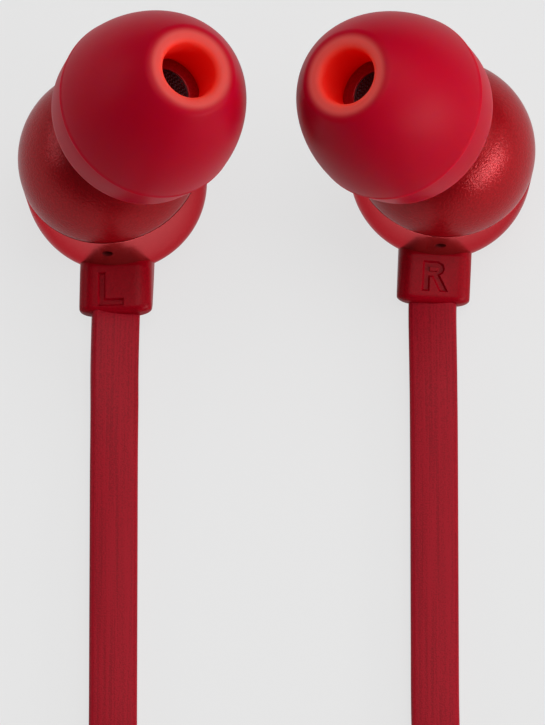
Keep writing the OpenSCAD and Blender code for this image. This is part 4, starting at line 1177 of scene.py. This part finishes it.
class MakeStage(bpy.types.Operator):
    """Pale floor, soft lamps, world and camera"""
    bl_idname = "earphones.make_stage"
    bl_label = "Stage"

    def execute(self, context):
        scene = context.scene
        self.make_floor(scene)
        self.make_world(scene)
        self.make_lamps(scene)
        self.make_camera(scene)
        scene.view_settings.view_transform = "Standard"
        return {"FINISHED"}

    def make_floor(self, scene):
        bm = bmesh.new()
        bmesh.ops.create_grid(bm, x_segments=1, y_segments=1, size=3.0)
        mesh = bpy.data.meshes.new("floor")
        bm.to_mesh(mesh)
        bm.free()
        floor = bpy.data.objects.new("floor", mesh)
        scene.collection.objects.link(floor)
        # matt paper: no highlight, and a tooth of 0.6 mm, coarser than the real 0.1 mm
        made, tree, shader = new_material("paper_matt")
        colour = scene.earphone_colours.floor
        tone = add(tree, "ShaderNodeValToRGB", grains(tree, 0.6, 2),
                   stops=shades(colour, [(0.4, 0.995), (0.6, 1.0)]))
        feed(tree, shader, {"Base Color": tone, "Roughness": 0.9, "Specular IOR Level": 0.0})
        glow = add(tree, "ShaderNodeEmission", linear(colour), 1.0)
        rays = add(tree, "ShaderNodeLightPath").outputs
        seen = rays["Is Camera Ray"]
        for kind in ("Is Glossy Ray", "Is Transmission Ray"):
            seen = add(tree, "ShaderNodeMath", seen, rays[kind], operation="MAXIMUM")
        # the rest of the floor's look is its own matt paper, which keeps the shadow
        lit_share = 0.88
        share = add(tree, "ShaderNodeMath", seen, lit_share, operation="MULTIPLY")
        mixed = add(tree, "ShaderNodeMixShader", share, shader, glow)
        feed(tree, tree.nodes["Material Output"], {0: mixed})
        mesh.materials.append(made)

    def make_world(self, scene):
        world = bpy.data.worlds.new("studio")
        world.use_nodes = True
        scene.world = world
        sky = world.node_tree.nodes["Background"]
        sky.inputs[0].default_value = linear("#f2f1f0")
        sky.inputs[1].default_value = 0.12

    def make_lamps(self, scene):
        # (name, place in metres, width and height in metres, watts, colour)
        for name, place, size, power, colour in (
                ("right_low", (0.46, -0.08, 0.12), (0.45, 0.1), 0.25, (1, 1, 1)),
                ("right_front", (0.39, -0.23, 0.12), (0.4, 0.08), 1.15, (1, 1, 1)),
                ("right_high", (0.36, 0.05, 0.36), (0.4, 0.2), 0.57, (1, 1, 1)),
                ("left", (-0.45, 0.1, 0.16), (0.4, 0.12), 0.4, (0.93, 0.95, 1)),
                ("back", (0.1, 0.3, 0.5), (0.4, 0.2), 0.51, (1, 1, 1)),
                ("top", (0.05, 0.0, 0.6), (0.4, 0.4), 1.75, (1, 1, 1))):
            light = bpy.data.lights.new(name, "AREA")
            light.shape = "RECTANGLE"
            light.size, light.size_y = size
            light.energy = power
            light.color = colour
            lamp = bpy.data.objects.new(name, light)
            lamp.location = place
            lamp.rotation_euler = (-Vector(place)).to_track_quat("-Z", "Y").to_euler()
            scene.collection.objects.link(lamp)

    def make_camera(self, scene):
        """A long lens, 66 degrees above the surface, looking down the cords to the buds."""
        elevation, distance = math.radians(66.3), 1.2
        aim = Vector((-0.218, -10.39, 0)) * MM
        picture_height, pixels_per_mm = 725, 15.2
        frame_height = picture_height / pixels_per_mm * MM
        data = bpy.data.cameras.new("camera")
        data.sensor_fit = "VERTICAL"
        data.sensor_height = 24
        data.lens = data.sensor_height * distance / frame_height
        data.clip_start, data.clip_end = 0.1, 20
        camera = bpy.data.objects.new("camera", data)
        back = Vector((0, -math.cos(elevation), math.sin(elevation)))
        camera.location = aim + back * distance
        camera.rotation_euler = (math.radians(90) - elevation, 0, 0)
        scene.collection.objects.link(camera)
        scene.camera = camera


class EarphonePanel(bpy.types.Panel):
    """Lists the pieces and their sizes"""
    bl_idname = "VIEW3D_PT_earphones"
    bl_label = "Earphones"
    bl_space_type = "VIEW_3D"
    bl_region_type = "UI"
    bl_category = "Earphones"

    def draw(self, context):
        for group in (context.scene.earphone_sizes, context.scene.earphone_colours):
            box = self.layout.box()
            for key in type(group).__annotations__:
                box.prop(group, key)
        for step in STEPS:
            self.layout.operator(step.bl_idname)


STEPS = (MakeStage, MakeRemoteButton, MakeSplitter, MakePlug, MakeTie, MakeCords, MakeEarTips,
         MakeFrontHousings, MakeNozzleMeshes, MakeBackCovers, MakeStrainReliefs, DressNodes)
CLASSES = (EarphoneSizes, EarphoneColours, *STEPS, EarphonePanel)


def register():
    for made in CLASSES:
        bpy.utils.register_class(made)
    bpy.types.Scene.earphone_sizes = PointerProperty(type=EarphoneSizes)
    bpy.types.Scene.earphone_colours = PointerProperty(type=EarphoneColours)


def unregister():
    del bpy.types.Scene.earphone_sizes
    del bpy.types.Scene.earphone_colours
    for made in reversed(CLASSES):
        bpy.utils.unregister_class(made)


def main():
    register()
    for step in STEPS:
        category, name = step.bl_idname.split(".")
        getattr(getattr(bpy.ops, category), name)()


if __name__ == "__main__":
    main()
